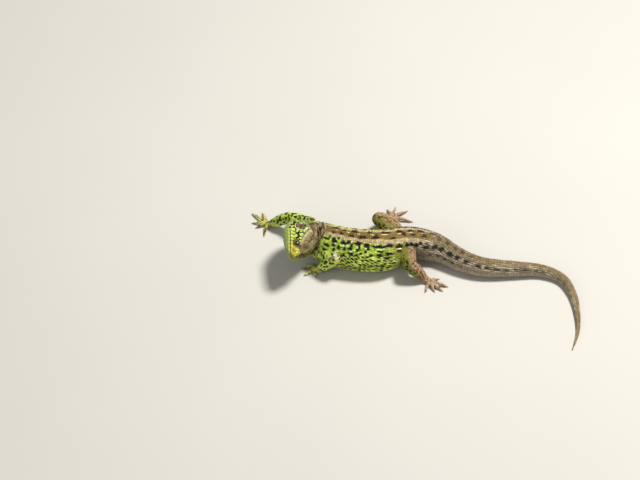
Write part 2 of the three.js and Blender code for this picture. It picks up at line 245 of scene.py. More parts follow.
def outline(distance, turn, inset=0.0):
    """A tapered superellipse: across = half width x sin^(2/n), rise = height x cos^(2/n), turn 0 on top."""
    wide, top, bottom = section(distance)
    power = 2 / squareness(distance)
    s, c = np.sin(turn), np.cos(turn)
    level = np.sign(c) * np.abs(c) ** power
    across = (wide - inset) * np.sign(s) * np.abs(s) ** power * taper(distance, level)
    return across, (np.where(c > 0, top, bottom) - inset) * level


# %% Even steps round the body
TABLE_STEP = 0.5
TABLE_D = np.arange(0, BODY_LENGTH + TABLE_STEP, TABLE_STEP)
TABLE_TURN = np.linspace(0, np.pi, 241)
TABLE_SHARE = np.linspace(0, 1, 161)
CHUNK = 8192


def round_tables():
    """For each station: half the girth, the turn at each share of it, and the share at each turn."""
    across, rise = outline(TABLE_D[:, None], TABLE_TURN[None, :])
    steps = np.hypot(np.diff(across, axis=1), np.diff(rise, axis=1))
    arcs = np.concatenate([np.zeros((len(TABLE_D), 1)), np.cumsum(steps, axis=1)], 1)
    shares = arcs / arcs[:, -1:]
    turns = np.stack([np.interp(TABLE_SHARE, row, TABLE_TURN) for row in shares])
    return arcs[:, -1], turns, shares


HALF_GIRTH, TURN_AT, SHARE_AT = round_tables()


def look_up(table, distance, across):
    """Reads a table of stations by columns between its entries; across runs from 0 to 1 over the columns."""
    row = np.clip(distance / TABLE_STEP, 0, len(TABLE_D) - 1.001)
    column = np.clip(across * (table.shape[1] - 1), 0, table.shape[1] - 1.001)
    i, j = row.astype(int), column.astype(int)
    f, g = row - i, column - j
    near = (1 - g) * table[i, j] + g * table[i, j + 1]
    return (1 - f) * near + f * ((1 - g) * table[i + 1, j] + g * table[i + 1, j + 1])


def half_girth(distance):
    """Half the way round the body there, in millimetres."""
    return np.interp(distance, TABLE_D, HALF_GIRTH)


def body_point(distance, share, inset=0.0, floor_at=0.0):
    """Centre + across x left + rise x up, where the share of the girth gives the turn."""
    distance, share = np.broadcast_arrays(np.asarray(distance, float), np.asarray(share, float))
    share = (share + 1) % 2 - 1
    turn = np.sign(share) * look_up(TURN_AT, distance, np.abs(share))
    across, rise = outline(distance, turn, inset)
    _, left, up = axes(distance)
    points = centre(distance) + across[..., None] * left + rise[..., None] * up
    points[..., 2] = np.maximum(points[..., 2], floor_at)
    return points


# %% From a point back to the two numbers
def body_place(points):
    """The other way round: the distance comes from the nearest sample of the midline and a few steps along
    tailward, the share from the turn. The third number is 1 on the body's surface and less inside it."""
    samples = centre(TABLE_D).astype(np.float32)
    distance = np.empty(len(points))
    for start in range(0, len(points), CHUNK):
        some = points[start : start + CHUNK].astype(np.float32)
        gaps = ((some[:, None] - samples[None]) ** 2).sum(-1)
        distance[start : start + CHUNK] = TABLE_D[gaps.argmin(1)]
    for _ in range(3):
        tailward, left, up = axes(distance)
        offset = points - centre(distance)
        distance = np.clip(distance + 0.8 * (offset * tailward).sum(-1), 0, BODY_LENGTH)
    tailward, left, up = axes(distance)
    offset = points - centre(distance)
    wide, top, bottom = section(distance)
    n = squareness(distance)
    r = (offset * up).sum(-1)
    r = r / np.where(r > 0, top, bottom)
    a = (offset * left).sum(-1) / wide / taper(distance, np.clip(r, -1, 1))
    turn = np.arctan2(np.abs(a) ** (n / 2), np.sign(r) * np.abs(r) ** (n / 2))
    share = np.sign(a) * look_up(SHARE_AT, distance, turn / np.pi)
    return distance, share, (np.abs(a) ** n + np.abs(r) ** n) ** (1 / n)


print("half girth at mid trunk", round(float(half_girth(55)), 1), "mm")


# %% [markdown]
# ## Legs and toes
# A leg is three lengths of muscle over bone, each fullest near its middle, with rounded ends that make the
# joint when two of them meet. A toe is a thin arch that ends in a claw. Each is a profile turned about its
# own axis, so a place on it is again two numbers: how far along the profile, and the share of a turn.


# %% Lengths of leg
def through(radii, t):
    """A parabola through the radius at the near end, middle and far end."""
    near, middle, far = radii
    return near * (1 - t) * (1 - 2 * t) + 4 * middle * t * (1 - t) + far * t * (2 * t - 1)


class Turned:
    """A profile turned about an axis. A place on it is how far along, and a share of the turn, 0 on top."""

    def half_girth(self, along):
        """Half the way round there: pi x radius."""
        return np.pi * self.radius(along)

    def point(self, along, share):
        """Axis + radius x (cos up + sin side), never under the floor."""
        along, share = np.broadcast_arrays(np.asarray(along, float), np.asarray(share, float))
        turn, r = (np.pi * share)[..., None], self.radius(along)[..., None]
        points = self.axis(along) + r * (np.cos(turn) * self.up + np.sin(turn) * self.side)
        points[..., 2] = np.maximum(points[..., 2], 0)
        return points


class Pod(Turned):
    """One length of leg: a quarter circle, a parabola and a quarter circle turned about the line between
    two joints. along is measured on the profile."""

    def __init__(self, start, end, radii, inset):
        self.start, self.end = np.array(start, float), np.array(end, float)
        self.radii = np.array(radii, float) - inset
        self.length = np.linalg.norm(self.end - self.start)
        self.ahead = unit(self.end - self.start)
        flat = (1, 0, 0) if abs(self.ahead[2]) > 0.9 else (0, 0, 1)
        self.side = unit(np.cross(self.ahead, flat))
        self.up = np.cross(self.side, self.ahead)
        near, _, far = self.radii
        dome, t = np.linspace(np.pi / 2, 0, 14), np.linspace(0, 1, 30)
        self.x = np.r_[-near * np.sin(dome), t[1:-1] * self.length, self.length + far * np.sin(dome[::-1])]
        self.r = np.r_[near * np.cos(dome), through(self.radii, t[1:-1]), far * np.cos(dome[::-1])]
        self.s = np.r_[0, np.cumsum(np.hypot(np.diff(self.x), np.diff(self.r)))]
        self.reach = self.s[-1]

    def radius(self, along):
        """The profile's distance from the axis."""
        return np.interp(along, self.s, self.r)

    def axis(self, along):
        """Start + x ahead."""
        return self.start + np.interp(along, self.s, self.x)[..., None] * self.ahead

    def depth(self, points):
        """How far each point is outside the pod's surface; negative inside."""
        offset = points - self.start
        t = np.clip(offset @ self.ahead / self.length, 0, 1)
        gap = offset - (t * self.length)[..., None] * self.ahead
        return np.linalg.norm(gap, axis=-1) - through(self.radii, t)


# %% Toes
CLAW_LENGTH, DIGIT_RISE = 1.5, 0.9
PALM_SHARE, KNUCKLES = 0.12, 3


class Digit(Turned):
    """A toe: its axis leaves the palm, arches up and comes down to the claw, and its radius swells a little
    at each of three knuckles."""

    def __init__(self, palm, tip, radii, inset):
        palm, tip = np.array(palm, float), np.array((*tip, 0.0))
        root = palm + (tip - palm) * PALM_SHARE
        self.root, flat = root, (tip - root) * (1, 1, 0)
        self.reach = np.linalg.norm(flat) - CLAW_LENGTH
        self.ahead, self.up = unit(flat), np.array((0.0, 0.0, 1.0))
        self.side = np.cross(self.ahead, self.up)
        self.radii, self.inset = np.array(radii, float), inset

    def radius(self, along):
        """The parabola x (0.95 + 0.07 cos) with a crest at each knuckle, rounded off at the tip."""
        t = np.clip(along / self.reach, 0, 1)
        r = (through(self.radii, t) - self.inset) * (0.95 + 0.07 * np.cos(2 * np.pi * (KNUCKLES * t + 0.1)))
        tip = np.clip((along - self.reach) / self.radii[2], 0, 1)
        return r * np.sqrt(np.maximum(1 - tip**2, 0.02))

    def height(self, along):
        """0.94 radius + the arch, half a sine wave."""
        t = np.clip(along / self.reach, 0, 1)
        return through(self.radii, t) * 0.94 + DIGIT_RISE * np.sin(np.pi * np.minimum(1, 0.25 + 0.75 * t))

    def axis(self, along):
        """Root + along x ahead, at its height."""
        points = self.root + along[..., None] * self.ahead
        points[..., 2] = self.height(along)
        return points


# %% Where the joints are
# radii at the near end, middle and far end of the upper length, the lower length, the paw and the digits
ARM_SHAPE = ((3.2, 3.1, 2.7), (2.7, 2.85, 1.8), (1.5, 1.6, 1.5), (0.8, 0.72, 0.58))
LEG_SHAPE = ((4.6, 4.3, 3.5), (3.3, 3.2, 1.9), (1.7, 1.8, 1.6), (0.95, 0.82, 0.62))
# name: four joints from the trunk outwards, then the digits' tips on the floor
LIMBS = {
    "arm_left": (ARM_SHAPE,
                 [(-24.4, -5.4, 10.2), (-17.4, -10.9, 12.2), (-25.4, -8.8, 2.2), (-27.6, -8.4, 1.1)],
                 [(-27.8, -2.6), (-31.8, -3.2), (-34.2, -6.4), (-33, -11.4), (-26.8, -12.8)]),
    "arm_right": (ARM_SHAPE,
                  [(-29.5, 13.2, 11.6), (-40.1, 20, 8.6), (-48.6, 21.9, 2.2), (-50.6, 22.8, 1.1)],
                  [(-52.2, 14.8), (-56.6, 20.6), (-58.4, 24), (-58.4, 30.6), (-53.2, 31.2)]),
    "leg_left": (LEG_SHAPE,
                 [(16.4, -1, 6.8), (17.6, -12.6, 9.6), (25, -14.4, 2.4), (27.6, -16, 1.2)],
                 [(25.2, -22.6), (30, -22.4), (34, -21.8), (36.6, -18.8), (32.6, -13.2)]),
    "leg_right": (LEG_SHAPE,
                  [(14.2, 8, 6.8), (3.6, 18.6, 8.8), (8.6, 24.8, 2.5), (10.4, 26.8, 1.2)],
                  [(7.6, 33.6), (12, 35.4), (18, 32.4), (20.4, 24.6), (15.6, 19.8)]),
}
BODY_INSET, LIMB_INSET, DIGIT_INSET = 0.3, 0.24, 0.09


def limb_parts(name):
    """The three pods and five digits of one limb, at the skin's size."""
    (upper, lower, paw, digit), joints, tips = LIMBS[name]
    pods = [Pod(a, b, r, LIMB_INSET) for a, b, r in zip(joints, joints[1:], (upper, lower, paw))]
    return pods, [Digit(joints[3], tip, digit, DIGIT_INSET) for tip in tips]


PARTS = {name: limb_parts(name) for name in LIMBS}
print("limbs:", {name: round(sum(p.length for p in pods), 1) for name, (pods, _) in PARTS.items()})


# %% [markdown]
# ## Meshes from arrays
# A surface on a grid of rows and columns becomes a closed tube when its columns meet and each end is drawn
# to a point. Writing whole arrays into the mesh is hundreds of times quicker than adding faces one by one.


# %% Helpers that make meshes
def new_mesh(name, points, faces, scale=MM):
    """A mesh from an array of points and a list of arrays of faces, one array for each corner count."""
    mesh = bpy.data.meshes.new(name)
    corners = np.concatenate([f.ravel() for f in faces])
    sizes = np.concatenate([np.full(len(f), f.shape[1]) for f in faces])
    mesh.vertices.add(len(points))
    mesh.vertices.foreach_set("co", (points * scale).astype(np.float32).ravel())
    mesh.loops.add(len(corners))
    mesh.loops.foreach_set("vertex_index", corners.astype(np.int32))
    mesh.polygons.add(len(sizes))
    mesh.polygons.foreach_set("loop_start", np.r_[0, np.cumsum(sizes)[:-1]].astype(np.int32))
    mesh.update(calc_edges=True)
    mesh.shade_smooth()
    return mesh


def new_object(name, mesh):
    """An object at the origin that shows the mesh."""
    made = bpy.data.objects.new(name, mesh)
    bpy.context.scene.collection.objects.link(made)
    return made


def tube(rings):
    """Rings of points (rows, columns, 3) as one closed surface facing out: quads between the rings and a fan
    to the middle of each end ring."""
    rows, columns = rings.shape[:2]
    points = np.vstack([rings.reshape(-1, 3), rings[0].mean(0), rings[-1].mean(0)])
    i = np.arange(rows - 1)[:, None] * columns
    j = np.arange(columns)[None, :]
    k = (j + 1) % columns
    quads = np.stack([i + j, i + k, i + k + columns, i + j + columns], -1).reshape(-1, 4)
    ring, following, last = np.arange(columns), (np.arange(columns) + 1) % columns, (rows - 1) * columns
    near = np.stack([np.full(columns, rows * columns), following, ring], 1)
    far = np.stack([np.full(columns, rows * columns + 1), last + ring, last + following], 1)
    a, b, c = (points[near[:, n]] for n in range(3))
    d, e, f = (points[quads[:, n]] for n in range(3))
    volume = (a * np.cross(b, c)).sum() + (d * np.cross(e, f)).sum() * 2
    faces = [quads, np.vstack([near, far])]
    return points, faces if volume > 0 else [g[:, ::-1] for g in faces]


def joined(parts):
    """Several (points, faces) as one."""
    points, quads, triangles, count = [], [], [], 0
    for some, (q, t) in parts:
        points.append(some)
        quads.append(q + count)
        triangles.append(t + count)
        count += len(some)
    return np.vstack(points), [np.vstack(quads), np.vstack(triangles)]


# %% Helpers that read and write meshes
def read(items, field, width, kind=float):
    """One field of all vertices, edges or loops as an array with that many columns."""
    values = np.empty(len(items) * width, kind)
    items.foreach_get(field, values)
    return values.reshape(-1, width)


def get_points(mesh):
    """All vertices as an array."""
    return read(mesh.vertices, "co", 3)


def get_edges(mesh):
    """All edges as pairs of vertices."""
    return read(mesh.edges, "vertices", 2, np.int32)


def set_points(mesh, points):
    """Writes the vertices back."""
    mesh.vertices.foreach_set("co", points.astype(np.float32).ravel())
    mesh.update()


# %% [markdown]
# ## One skin
# On the animal the skin runs without a seam from trunk to thigh to toe. The body, the lengths of leg and the
# toes are made as closed tubes that run into each other, then a voxel remesh wraps all of them in one new
# surface. It leaves sharp creases where two tubes met, so a few rounds of averaging round them off, most
# at the shoulders and hips.

# %% The body and limbs as overlapping tubes
BODY_COLUMNS, POD_ROWS, POD_COLUMNS, DIGIT_ROWS, DIGIT_COLUMNS = 96, 30, 32, 26, 20
HEAD_RING, TRUNK_RING, TAIL_RING = 0.35, 0.7, 0.9


def grid_tube(surface, along, columns):
    """A surface of two numbers as a closed tube with a ring at each place along it."""
    around = np.arange(columns) * 2 / columns - 1
    return tube(surface(along[:, None], around[None, :]))


def body_skin(distance, share):
    """The body's surface at the skin's depth, its flat underside just off the floor."""
    return body_point(distance, share, BODY_INSET, floor_at=0.12)


body_rings = np.r_[np.arange(HEAD_RING, 20, HEAD_RING), np.arange(20, 80, TRUNK_RING),
                   np.arange(80, BODY_LENGTH - 0.8, TAIL_RING)]
tubes = [grid_tube(body_skin, body_rings, BODY_COLUMNS)]
for pods, digits in PARTS.values():
    for pod in pods:
        tubes.append(grid_tube(pod.point, np.linspace(0.02, pod.reach - 0.02, POD_ROWS), POD_COLUMNS))
    for digit in digits:
        far = digit.reach + digit.radii[2] * 0.99
        tubes.append(grid_tube(digit.point, np.linspace(0, far, DIGIT_ROWS), DIGIT_COLUMNS))
raw_points, raw_faces = joined(tubes)
print("tubes", len(tubes), "points", len(raw_points))

# %% Wrapped in one surface
VOXEL = 0.36

raw = new_object("raw", new_mesh("raw", raw_points, raw_faces, scale=1))
wrap = raw.modifiers.new("wrap", "REMESH")
wrap.mode, wrap.voxel_size = "VOXEL", VOXEL
shown = raw.evaluated_get(bpy.context.evaluated_depsgraph_get())
skin_mesh = bpy.data.meshes.new_from_object(shown)
bpy.data.objects.remove(raw)
skin = new_object("skin", skin_mesh)
print("wrapped skin:", len(skin_mesh.vertices), "points")


# %% Smoothing
def averaged(points, edges, weight, rounds):
    """Each round moves a point that share of the way to the mean of its neighbours."""
    n = len(points)
    one, other = edges.T
    count = np.maximum(np.bincount(edges.ravel(), minlength=n), 1)[:, None]
    for _ in range(rounds):
        total = np.stack([
            np.bincount(one, points[other, k], n) + np.bincount(other, points[one, k], n) for k in range(3)
        ], 1)
        points = points + weight[:, None] * (total / count - points)
    return points


# %% Creases rounded at the shoulders, hips and paws
# reach in mm and strength at the shoulder or hip, the elbow or knee, the wrist and the palm
JOINT_ROUNDING = ((6.5, 0.5), (2.4, 0.5), (1.6, 0.3), (1.6, 0.3))
SKIN_FLOOR = 0.1

points, edges = get_points(skin_mesh), get_edges(skin_mesh)
weight = np.zeros(len(points))
for _, joints, _ in LIMBS.values():
    for joint, (reach, strength) in zip(joints, JOINT_ROUNDING):
        near = fade(0.7 * reach, 1.3 * reach, np.linalg.norm(points - joint, axis=1))
        weight = np.maximum(weight, near * strength)
points = averaged(points, edges, weight, rounds=14)
points = averaged(points, edges, np.full(len(points), 0.35), rounds=2)
points[:, 2] = np.maximum(points[:, 2], SKIN_FLOOR)
set_points(skin_mesh, points)
print("skin smoothed, lowest", round(points[:, 2].min(), 2))


# %% [markdown]
# ## The head's relief
# The skull gives the head its hard corners: lids round the eyes, a ridge over them, nostrils near the tip,
# the slit of the mouth and a sunk eardrum behind the jaw. These are smaller than the wrap's voxels, so the
# faces there are split first, and the points then pushed by short formulas written in the head's own axes.

# %% The head's own axes
HEAD_ORIGIN = centre(0.0)
HEAD_BACK, HEAD_LEFT, HEAD_OVER = axes(HEAD_LENGTH / 3)
HEAD_END, EAR_SIDE = 20.5, 5
EYE_RADIUS, EYE_BEHIND, EYE_ASIDE, EYE_ABOVE = 1.75, 6.5, 2.55, 1.65
EAR_BEHIND, EAR_ABOVE, EAR_LENGTH, EAR_WIDTH, EARDRUM_ASIDE = 17.2, 1.2, 3.2, 2.2, 6.95
NOSTRIL_BEHIND, NOSTRIL_ABOVE = 2.3, 1.3
EYE_SPOT, EAR_SPOT = (EYE_BEHIND, EYE_ABOVE), (EAR_BEHIND, EAR_ABOVE)
NOSTRIL_SPOT = (NOSTRIL_BEHIND, NOSTRIL_ABOVE)


def oval(x, y, middle, half_length=1.0, half_height=1.0):
    """1 on the edge of an oval about its middle, less inside it and more outside."""
    return np.hypot((x - middle[0]) / half_length, (y - middle[1]) / half_height)


def head_place(points):
    """Distance behind the snout tip, to the left, and above, along the head's axes."""
    offset = points - HEAD_ORIGIN
    return offset @ HEAD_BACK, offset @ HEAD_LEFT, offset @ HEAD_OVER


def head_point(behind, left, above):
    """The same three numbers as a point in space."""
    b, l, a = (np.asarray(v, float)[..., None] for v in np.broadcast_arrays(behind, left, above))
    return HEAD_ORIGIN + b * HEAD_BACK + l * HEAD_LEFT + a * HEAD_OVER


# %% Finer faces on the head
def split_faces(mesh, chosen):
    """Cuts each chosen edge in two, which makes four faces of one where all four edges are chosen."""
    bm = bmesh.new()
    bm.from_mesh(mesh)
    bm.edges.ensure_lookup_table()
    picked = [bm.edges[i] for i in np.flatnonzero(chosen)]
    bmesh.ops.subdivide_edges(bm, edges=picked, cuts=1, use_grid_fill=True)
    bmesh.ops.triangulate(bm, faces=[f for f in bm.faces if len(f.verts) > 4])
    bm.to_mesh(mesh)
    bm.free()
    mesh.update()


def near_head(points, gap):
    """True near the head, nearer than gap to its middle line."""
    behind, left, above = head_place(points)
    return (behind < HEAD_END) & (np.abs(left) < gap) & (np.abs(above) < gap)


def near_feature(points):
    """True round the eyes, nostrils and ears."""
    behind, left, above = head_place(points)
    side = np.abs(left)
    eye = np.linalg.norm(np.stack([behind - EYE_BEHIND, side - EYE_ASIDE, above - EYE_ABOVE]), axis=0) < 2.8
    ear = oval(behind, above, EAR_SPOT, 1.3) < 1.9
    nostril = oval(behind, above, NOSTRIL_SPOT) < 0.9
    return (eye | (ear & (side > EAR_SIDE)) | (nostril & (side > 1))) & (behind < HEAD_END)


for test in (lambda p: near_head(p, 12.5), near_feature):
    inside = test(get_points(skin_mesh))
    split_faces(skin_mesh, inside[get_edges(skin_mesh)].all(1))
print("skin with fine head:", len(skin_mesh.vertices), "points", len(skin_mesh.polygons), "faces")

# %% The line of the mouth and the eyes' axes
MOUTH_LINE = np.array([(0, -0.1), (1, -0.1), (3, -0.4), (7, -1.2), (11, -2.0), (13.6, -2.9)])


def mouth_above(behind):
    """The height of the mouth's slit at that distance behind the snout."""
    return np.interp(behind, MOUTH_LINE[:, 0], MOUTH_LINE[:, 1])


def eye_axes(sign):
    """An eye's centre, and its outward, backward and upward directions."""
    out = unit(sign * HEAD_LEFT - 0.16 * HEAD_BACK + 0.2 * HEAD_OVER)
    back = unit(HEAD_BACK - (HEAD_BACK @ out) * out)
    lift = np.cross(out, back) * sign
    return head_point(EYE_BEHIND, sign * EYE_ASIDE, EYE_ABOVE), out, back, lift


# %% Lids, brows, nostrils, ears and folds
LID_HALF_LENGTH, LID_HALF_HEIGHT, LID_THICKNESS = 1.4, 0.95, 0.24


def with_eyelids(points):
    """Round each eye the skin lies a lid's thickness over the ball; within the lids' oval it is drawn in
    behind the ball's surface."""
    for sign in (1, -1):
        middle, out, back, lift = eye_axes(sign)
        q = points - middle
        x, y, z = q @ back, q @ lift, q @ out
        lids = oval(x, y, (0, 0), LID_HALF_LENGTH, LID_HALF_HEIGHT)
        far = np.maximum(np.linalg.norm(q, axis=1), 1e-6)
        lid = fade(1.25, 1.9, lids) * (z > 0)
        sunk = fade(0.86, 1.06, lids)
        wanted = (EYE_RADIUS + LID_THICKNESS) * (1 - sunk) + (EYE_RADIUS - 0.45) * sunk
        points = points + ((wanted - far) * lid / far)[:, None] * q
    return points


def relief(points):
    """Millimetres to push each point along its normal: sums of bell curves and waves."""
    behind, left, above = head_place(points)
    side = np.abs(left)
    on_head = fade(18.5, HEAD_END, behind)
    slit = above - mouth_above(behind)
    push = -0.32 * bell(slit / 0.2) * fade(13.0, 13.8, behind) * on_head
    nostril = oval(behind, above, NOSTRIL_SPOT, 0.36, 0.3)
    push -= 0.55 * bell(nostril) * (side > 1)
    push += 0.1 * np.exp(-((nostril - 1.9) ** 2) / 0.3) * (side > 1) * on_head
    brow = bell((above - 3.2) / 0.45) * smoothstep(3, 4.6, behind) * fade(8.5, 10.5, behind)
    push += 0.26 * brow * (side > 1.4)
    socket = np.exp(-(((behind - 4.0) / 0.9) ** 2) - ((above - 1.4) / 0.8) ** 2) * (side > 1.4)
    push -= 0.25 * socket * on_head
    return push


def with_ears(points):
    """Within each ear's oval the skin is drawn in past the drum, and a low rim stands round it."""
    behind, left, above = head_place(points)
    side = np.abs(left)
    ear = oval(behind, above, EAR_SPOT, EAR_LENGTH / 2, EAR_WIDTH / 2)
    here = (side > EAR_SIDE) & (behind < HEAD_END) & (ear < 2.5)
    sunk = fade(0.85, 1.12, ear) * here
    rim = 0.14 * bell((ear - 1.35) / 0.22) * here
    move = (EARDRUM_ASIDE - 0.45 - side) * sunk + rim
    return points + (move * np.sign(left))[:, None] * HEAD_LEFT


def nape_folds(distance, share):
    """Shallow creases across the back of the bent neck, deepest on top and gone at the throat."""
    along = smoothstep(18.5, 21, distance) * fade(29, 34, distance)
    wave = 0.5 + 0.5 * np.cos(2 * np.pi * (distance / 1.7 + 0.45 * np.sin(9 * share)))
    return -0.42 * along * wave**2 * fade(0.36, 0.6, np.abs(share))


# %% The relief put on the skin
points = get_points(skin_mesh)
head = np.flatnonzero(near_head(points, 12))
normals = read(skin_mesh.vertex_normals, "vector", 3)
points[head] += relief(points[head])[:, None] * normals[head]
points[head] = with_ears(with_eyelids(points[head]))
skin_d, skin_share, skin_depth = body_place(points)
on_body = np.abs(skin_depth - 1) < 0.12
points += (nape_folds(skin_d, skin_share) * on_body)[:, None] * normals
points = averaged(points, get_edges(skin_mesh), np.full(len(points), 0.25), rounds=1)
points[:, 2] = np.maximum(points[:, 2], SKIN_FLOOR)
set_points(skin_mesh, points)
print("head points", len(head))


# %% [markdown]
# ## Noise that gives the same result every run
# Spots and mottling need random numbers tied to a place, not to the order of a list. A hash of a lattice
# point's whole-number coordinates gives one, and two patterns are built on it: a smooth grain and a field
# of cells with one wandering centre in each.


# %% A number for each place
def hashed(lattice, seed):
    """A number from 0 to 1 for each whole-number lattice point: bits multiplied and mixed."""
    n = lattice.astype(np.int64)
    h = n[..., 0] * 374761393 + n[..., 1] * 668265263 + n[..., 2] * 2147483647 + seed * 974634777
    h = (h ^ (h >> 13)) * 1274126177 & 0xFFFFFFFF
    h = (h ^ (h >> 16)) * 2246822519 & 0xFFFFFFFF
    return ((h ^ (h >> 15)) & 0xFFFFFF) / float(0x1000000)


def hashed_pair(a, b, seed):
    """The same for a pair of numbers."""
    return hashed(np.stack(np.broadcast_arrays(a, b, 0 * a), -1), seed)


# %% Grain and cells
CORNERS = np.array(list(product((0, 1), repeat=3)))
AROUND_CELL = np.array(list(product((-1, 0, 1), repeat=3)))


def grain(points, size, seed=0):
    """Smooth noise: the hashes of the eight lattice corners, blended by smoothstep along each axis."""
    p = points / size
    base = np.floor(p)
    f = p - base
    f = f * f * (3 - 2 * f)
    total = 0
    for corner in CORNERS:
        total = total + hashed(base + corner, seed) * np.where(corner, f, 1 - f).prod(-1)
    return total


def cells(points, size, seed=0):
    """The distance, in cell sizes, to the nearest and the second nearest wandering centre, and the nearest
    cell's own random number."""
    p = points / size
    base = np.floor(p)
    first, second = np.full(p.shape[:-1], 9.0), np.full(p.shape[:-1], 9.0)
    own = np.zeros(p.shape[:-1])
    for step in AROUND_CELL:
        home = base + step
        spot = home + 0.5 + 0.75 * (np.stack([hashed(home, seed + k) for k in (1, 2, 3)], -1) - 0.5)
        gap = np.linalg.norm(spot - p, axis=-1)
        nearer = gap < first
        second = np.where(nearer, first, np.minimum(second, gap))
        own = np.where(nearer, hashed(home, seed + 7), own)
        first = np.where(nearer, gap, first)
    return first, second, own


# %% [markdown]
# ## Colours and markings
# A male in spring has bright green flanks crowded with black, a brown back with a broken white line between
# two rows of dark blotches, and a pale stripe along each edge of the brown. The colours are functions of the
# body's own coordinates. Scales ask them for their colour at their own root, which breaks every edge into
# scale-sized steps, as on the animal.

# %% The palette
COLOURS = {
    "green": (0.31, 0.46, 0.035), "lime": (0.68, 0.82, 0.16), "olive": (0.24, 0.2, 0.035),
    "black": (0.008, 0.007, 0.004), "back_brown": (0.27, 0.175, 0.06), "blotch": (0.034, 0.019, 0.009),
    "stripe": (0.53, 0.44, 0.25), "dash": (0.9, 0.82, 0.6), "pale_spot": (0.78, 0.85, 0.45),
    "tail_grey": (0.18, 0.145, 0.092), "tail_pale": (0.46, 0.4, 0.285), "belly": (0.5, 0.54, 0.15),
    "crown": (0.195, 0.135, 0.055), "crown_dark": (0.038, 0.022, 0.008), "snout": (0.49, 0.45, 0.04),
    "throat": (0.3, 0.37, 0.13), "nape": (0.255, 0.18, 0.09), "pink": (0.47, 0.31, 0.195),
    "pink_pale": (0.47, 0.34, 0.215), "rust": (0.1, 0.035, 0.016), "hand": (0.52, 0.47, 0.11),
    "elbow": (0.6, 0.53, 0.38), "pupil": (0.003, 0.002, 0.002), "gold": (0.24, 0.14, 0.04),
    "iris": (0.06, 0.026, 0.01),
}
INK = SimpleNamespace(**{name: np.array(rgb) for name, rgb in COLOURS.items()})


def mixed(a, b, share):
    """a where share is 0, b where it is 1."""
    share = np.clip(np.asarray(share), 0, 1)[..., None]
    return a * (1 - share) + b * share


print("palette of", len(COLOURS), "colours")


# %% Tables of blotches
# distance from the snout, share of the way round, half length in mm, half height as a share
FLANK_BLOTCHES = np.array([
    (33.4, 0.23, 2.1, 0.017), (34.6, 0.19, 0.4, 0.03), (37.8, 0.22, 1.2, 0.036), (39.4, 0.17, 0.5, 0.018),
    (42.2, 0.22, 1.1, 0.036), (44.6, 0.19, 0.9, 0.031), (46.4, 0.24, 0.5, 0.035), (49.2, 0.2, 1.4, 0.031),
    (49.8, 0.26, 0.5, 0.025), (49.2, 0.3, 0.6, 0.02), (53.2, 0.22, 1.2, 0.031), (54, 0.27, 0.5, 0.032),
    (34.8, 0.33, 1.5, 0.02), (38, 0.3, 0.9, 0.019), (38.6, 0.36, 0.7, 0.024), (40.6, 0.31, 0.8, 0.032),
    (43, 0.3, 0.7, 0.022), (45.8, 0.29, 0.9, 0.02), (46.4, 0.37, 1.1, 0.024), (43.2, 0.4, 0.5, 0.025),
    (50.8, 0.35, 0.6, 0.017), (48.8, 0.38, 0.6, 0.018), (53, 0.32, 0.5, 0.02), (34.4, 0.41, 1.2, 0.018),
    (33.2, 0.5, 1.3, 0.025), (35.6, 0.49, 0.5, 0.024), (37.4, 0.47, 0.6, 0.017), (58.2, 0.23, 2.2, 0.022),
    (61.8, 0.21, 0.9, 0.025), (65.4, 0.24, 1.5, 0.022), (65.6, 0.2, 0.5, 0.017), (68.8, 0.2, 0.5, 0.01),
    (70.8, 0.255, 1.9, 0.032), (75.4, 0.25, 1.8, 0.034), (79.6, 0.26, 1.4, 0.032), (81.4, 0.22, 0.7, 0.03),
    (84.6, 0.3, 1.6, 0.026), (84.6, 0.21, 0.5, 0.02), (89, 0.3, 1.7, 0.026), (58.2, 0.3, 1.1, 0.015),
    (55, 0.37, 0.8, 0.018), (57.8, 0.36, 0.7, 0.02), (61.2, 0.34, 1, 0.02), (64.6, 0.31, 0.8, 0.017),
    (60.4, 0.41, 0.5, 0.016), (62.6, 0.5, 0.4, 0.014), (59, 0.55, 0.5, 0.026), (60.8, 0.58, 0.5, 0.024),
])
PALE_SPOTS = np.array([
    (44.6, 0.242, 0.5, 0.017), (38.8, 0.26, 0.5, 0.013), (49, 0.262, 0.5, 0.013),
    (53, 0.267, 0.45, 0.018), (46.4, 0.332, 0.6, 0.014), (42.6, 0.266, 0.45, 0.018),
    (38.6, 0.191, 0.4, 0.013), (58.4, 0.267, 1.6, 0.009), (65.2, 0.276, 1, 0.01),
    (62.6, 0.475, 0.6, 0.011), (36, 0.45, 0.6, 0.013), (40.2, 0.355, 0.5, 0.011),
])
LEFT_BACK_BLOTCHES = np.array([
    (35.2, 0.066, 1.2, 0.02), (40, 0.045, 1, 0.022), (45, 0.055, 1.4, 0.026), (51, 0.06, 1.7, 0.032),
    (56.8, 0.062, 1.7, 0.026), (57.4, 0.012, 0.7, 0.026), (64.8, 0.07, 1.3, 0.018), (71.4, 0.01, 1.1, 0.045),
    (76.2, 0.031, 1.5, 0.024), (82.4, 0.035, 1.4, 0.034), (88, 0.045, 1.4, 0.03), (94, 0.05, 1.3, 0.03),
])
RIGHT_BACK_BLOTCHES = np.array([
    (35.8, -0.066, 2.2, 0.022), (41.4, -0.062, 1, 0.02), (46.8, -0.068, 1.9, 0.024),
    (54.2, -0.078, 1.9, 0.024), (63.2, -0.08, 2.2, 0.028), (70.2, -0.066, 1.4, 0.034),
    (75.6, -0.085, 1.2, 0.022), (80.4, -0.096, 1.3, 0.028), (86, -0.08, 1.4, 0.03), (92, -0.07, 1.3, 0.03),
])
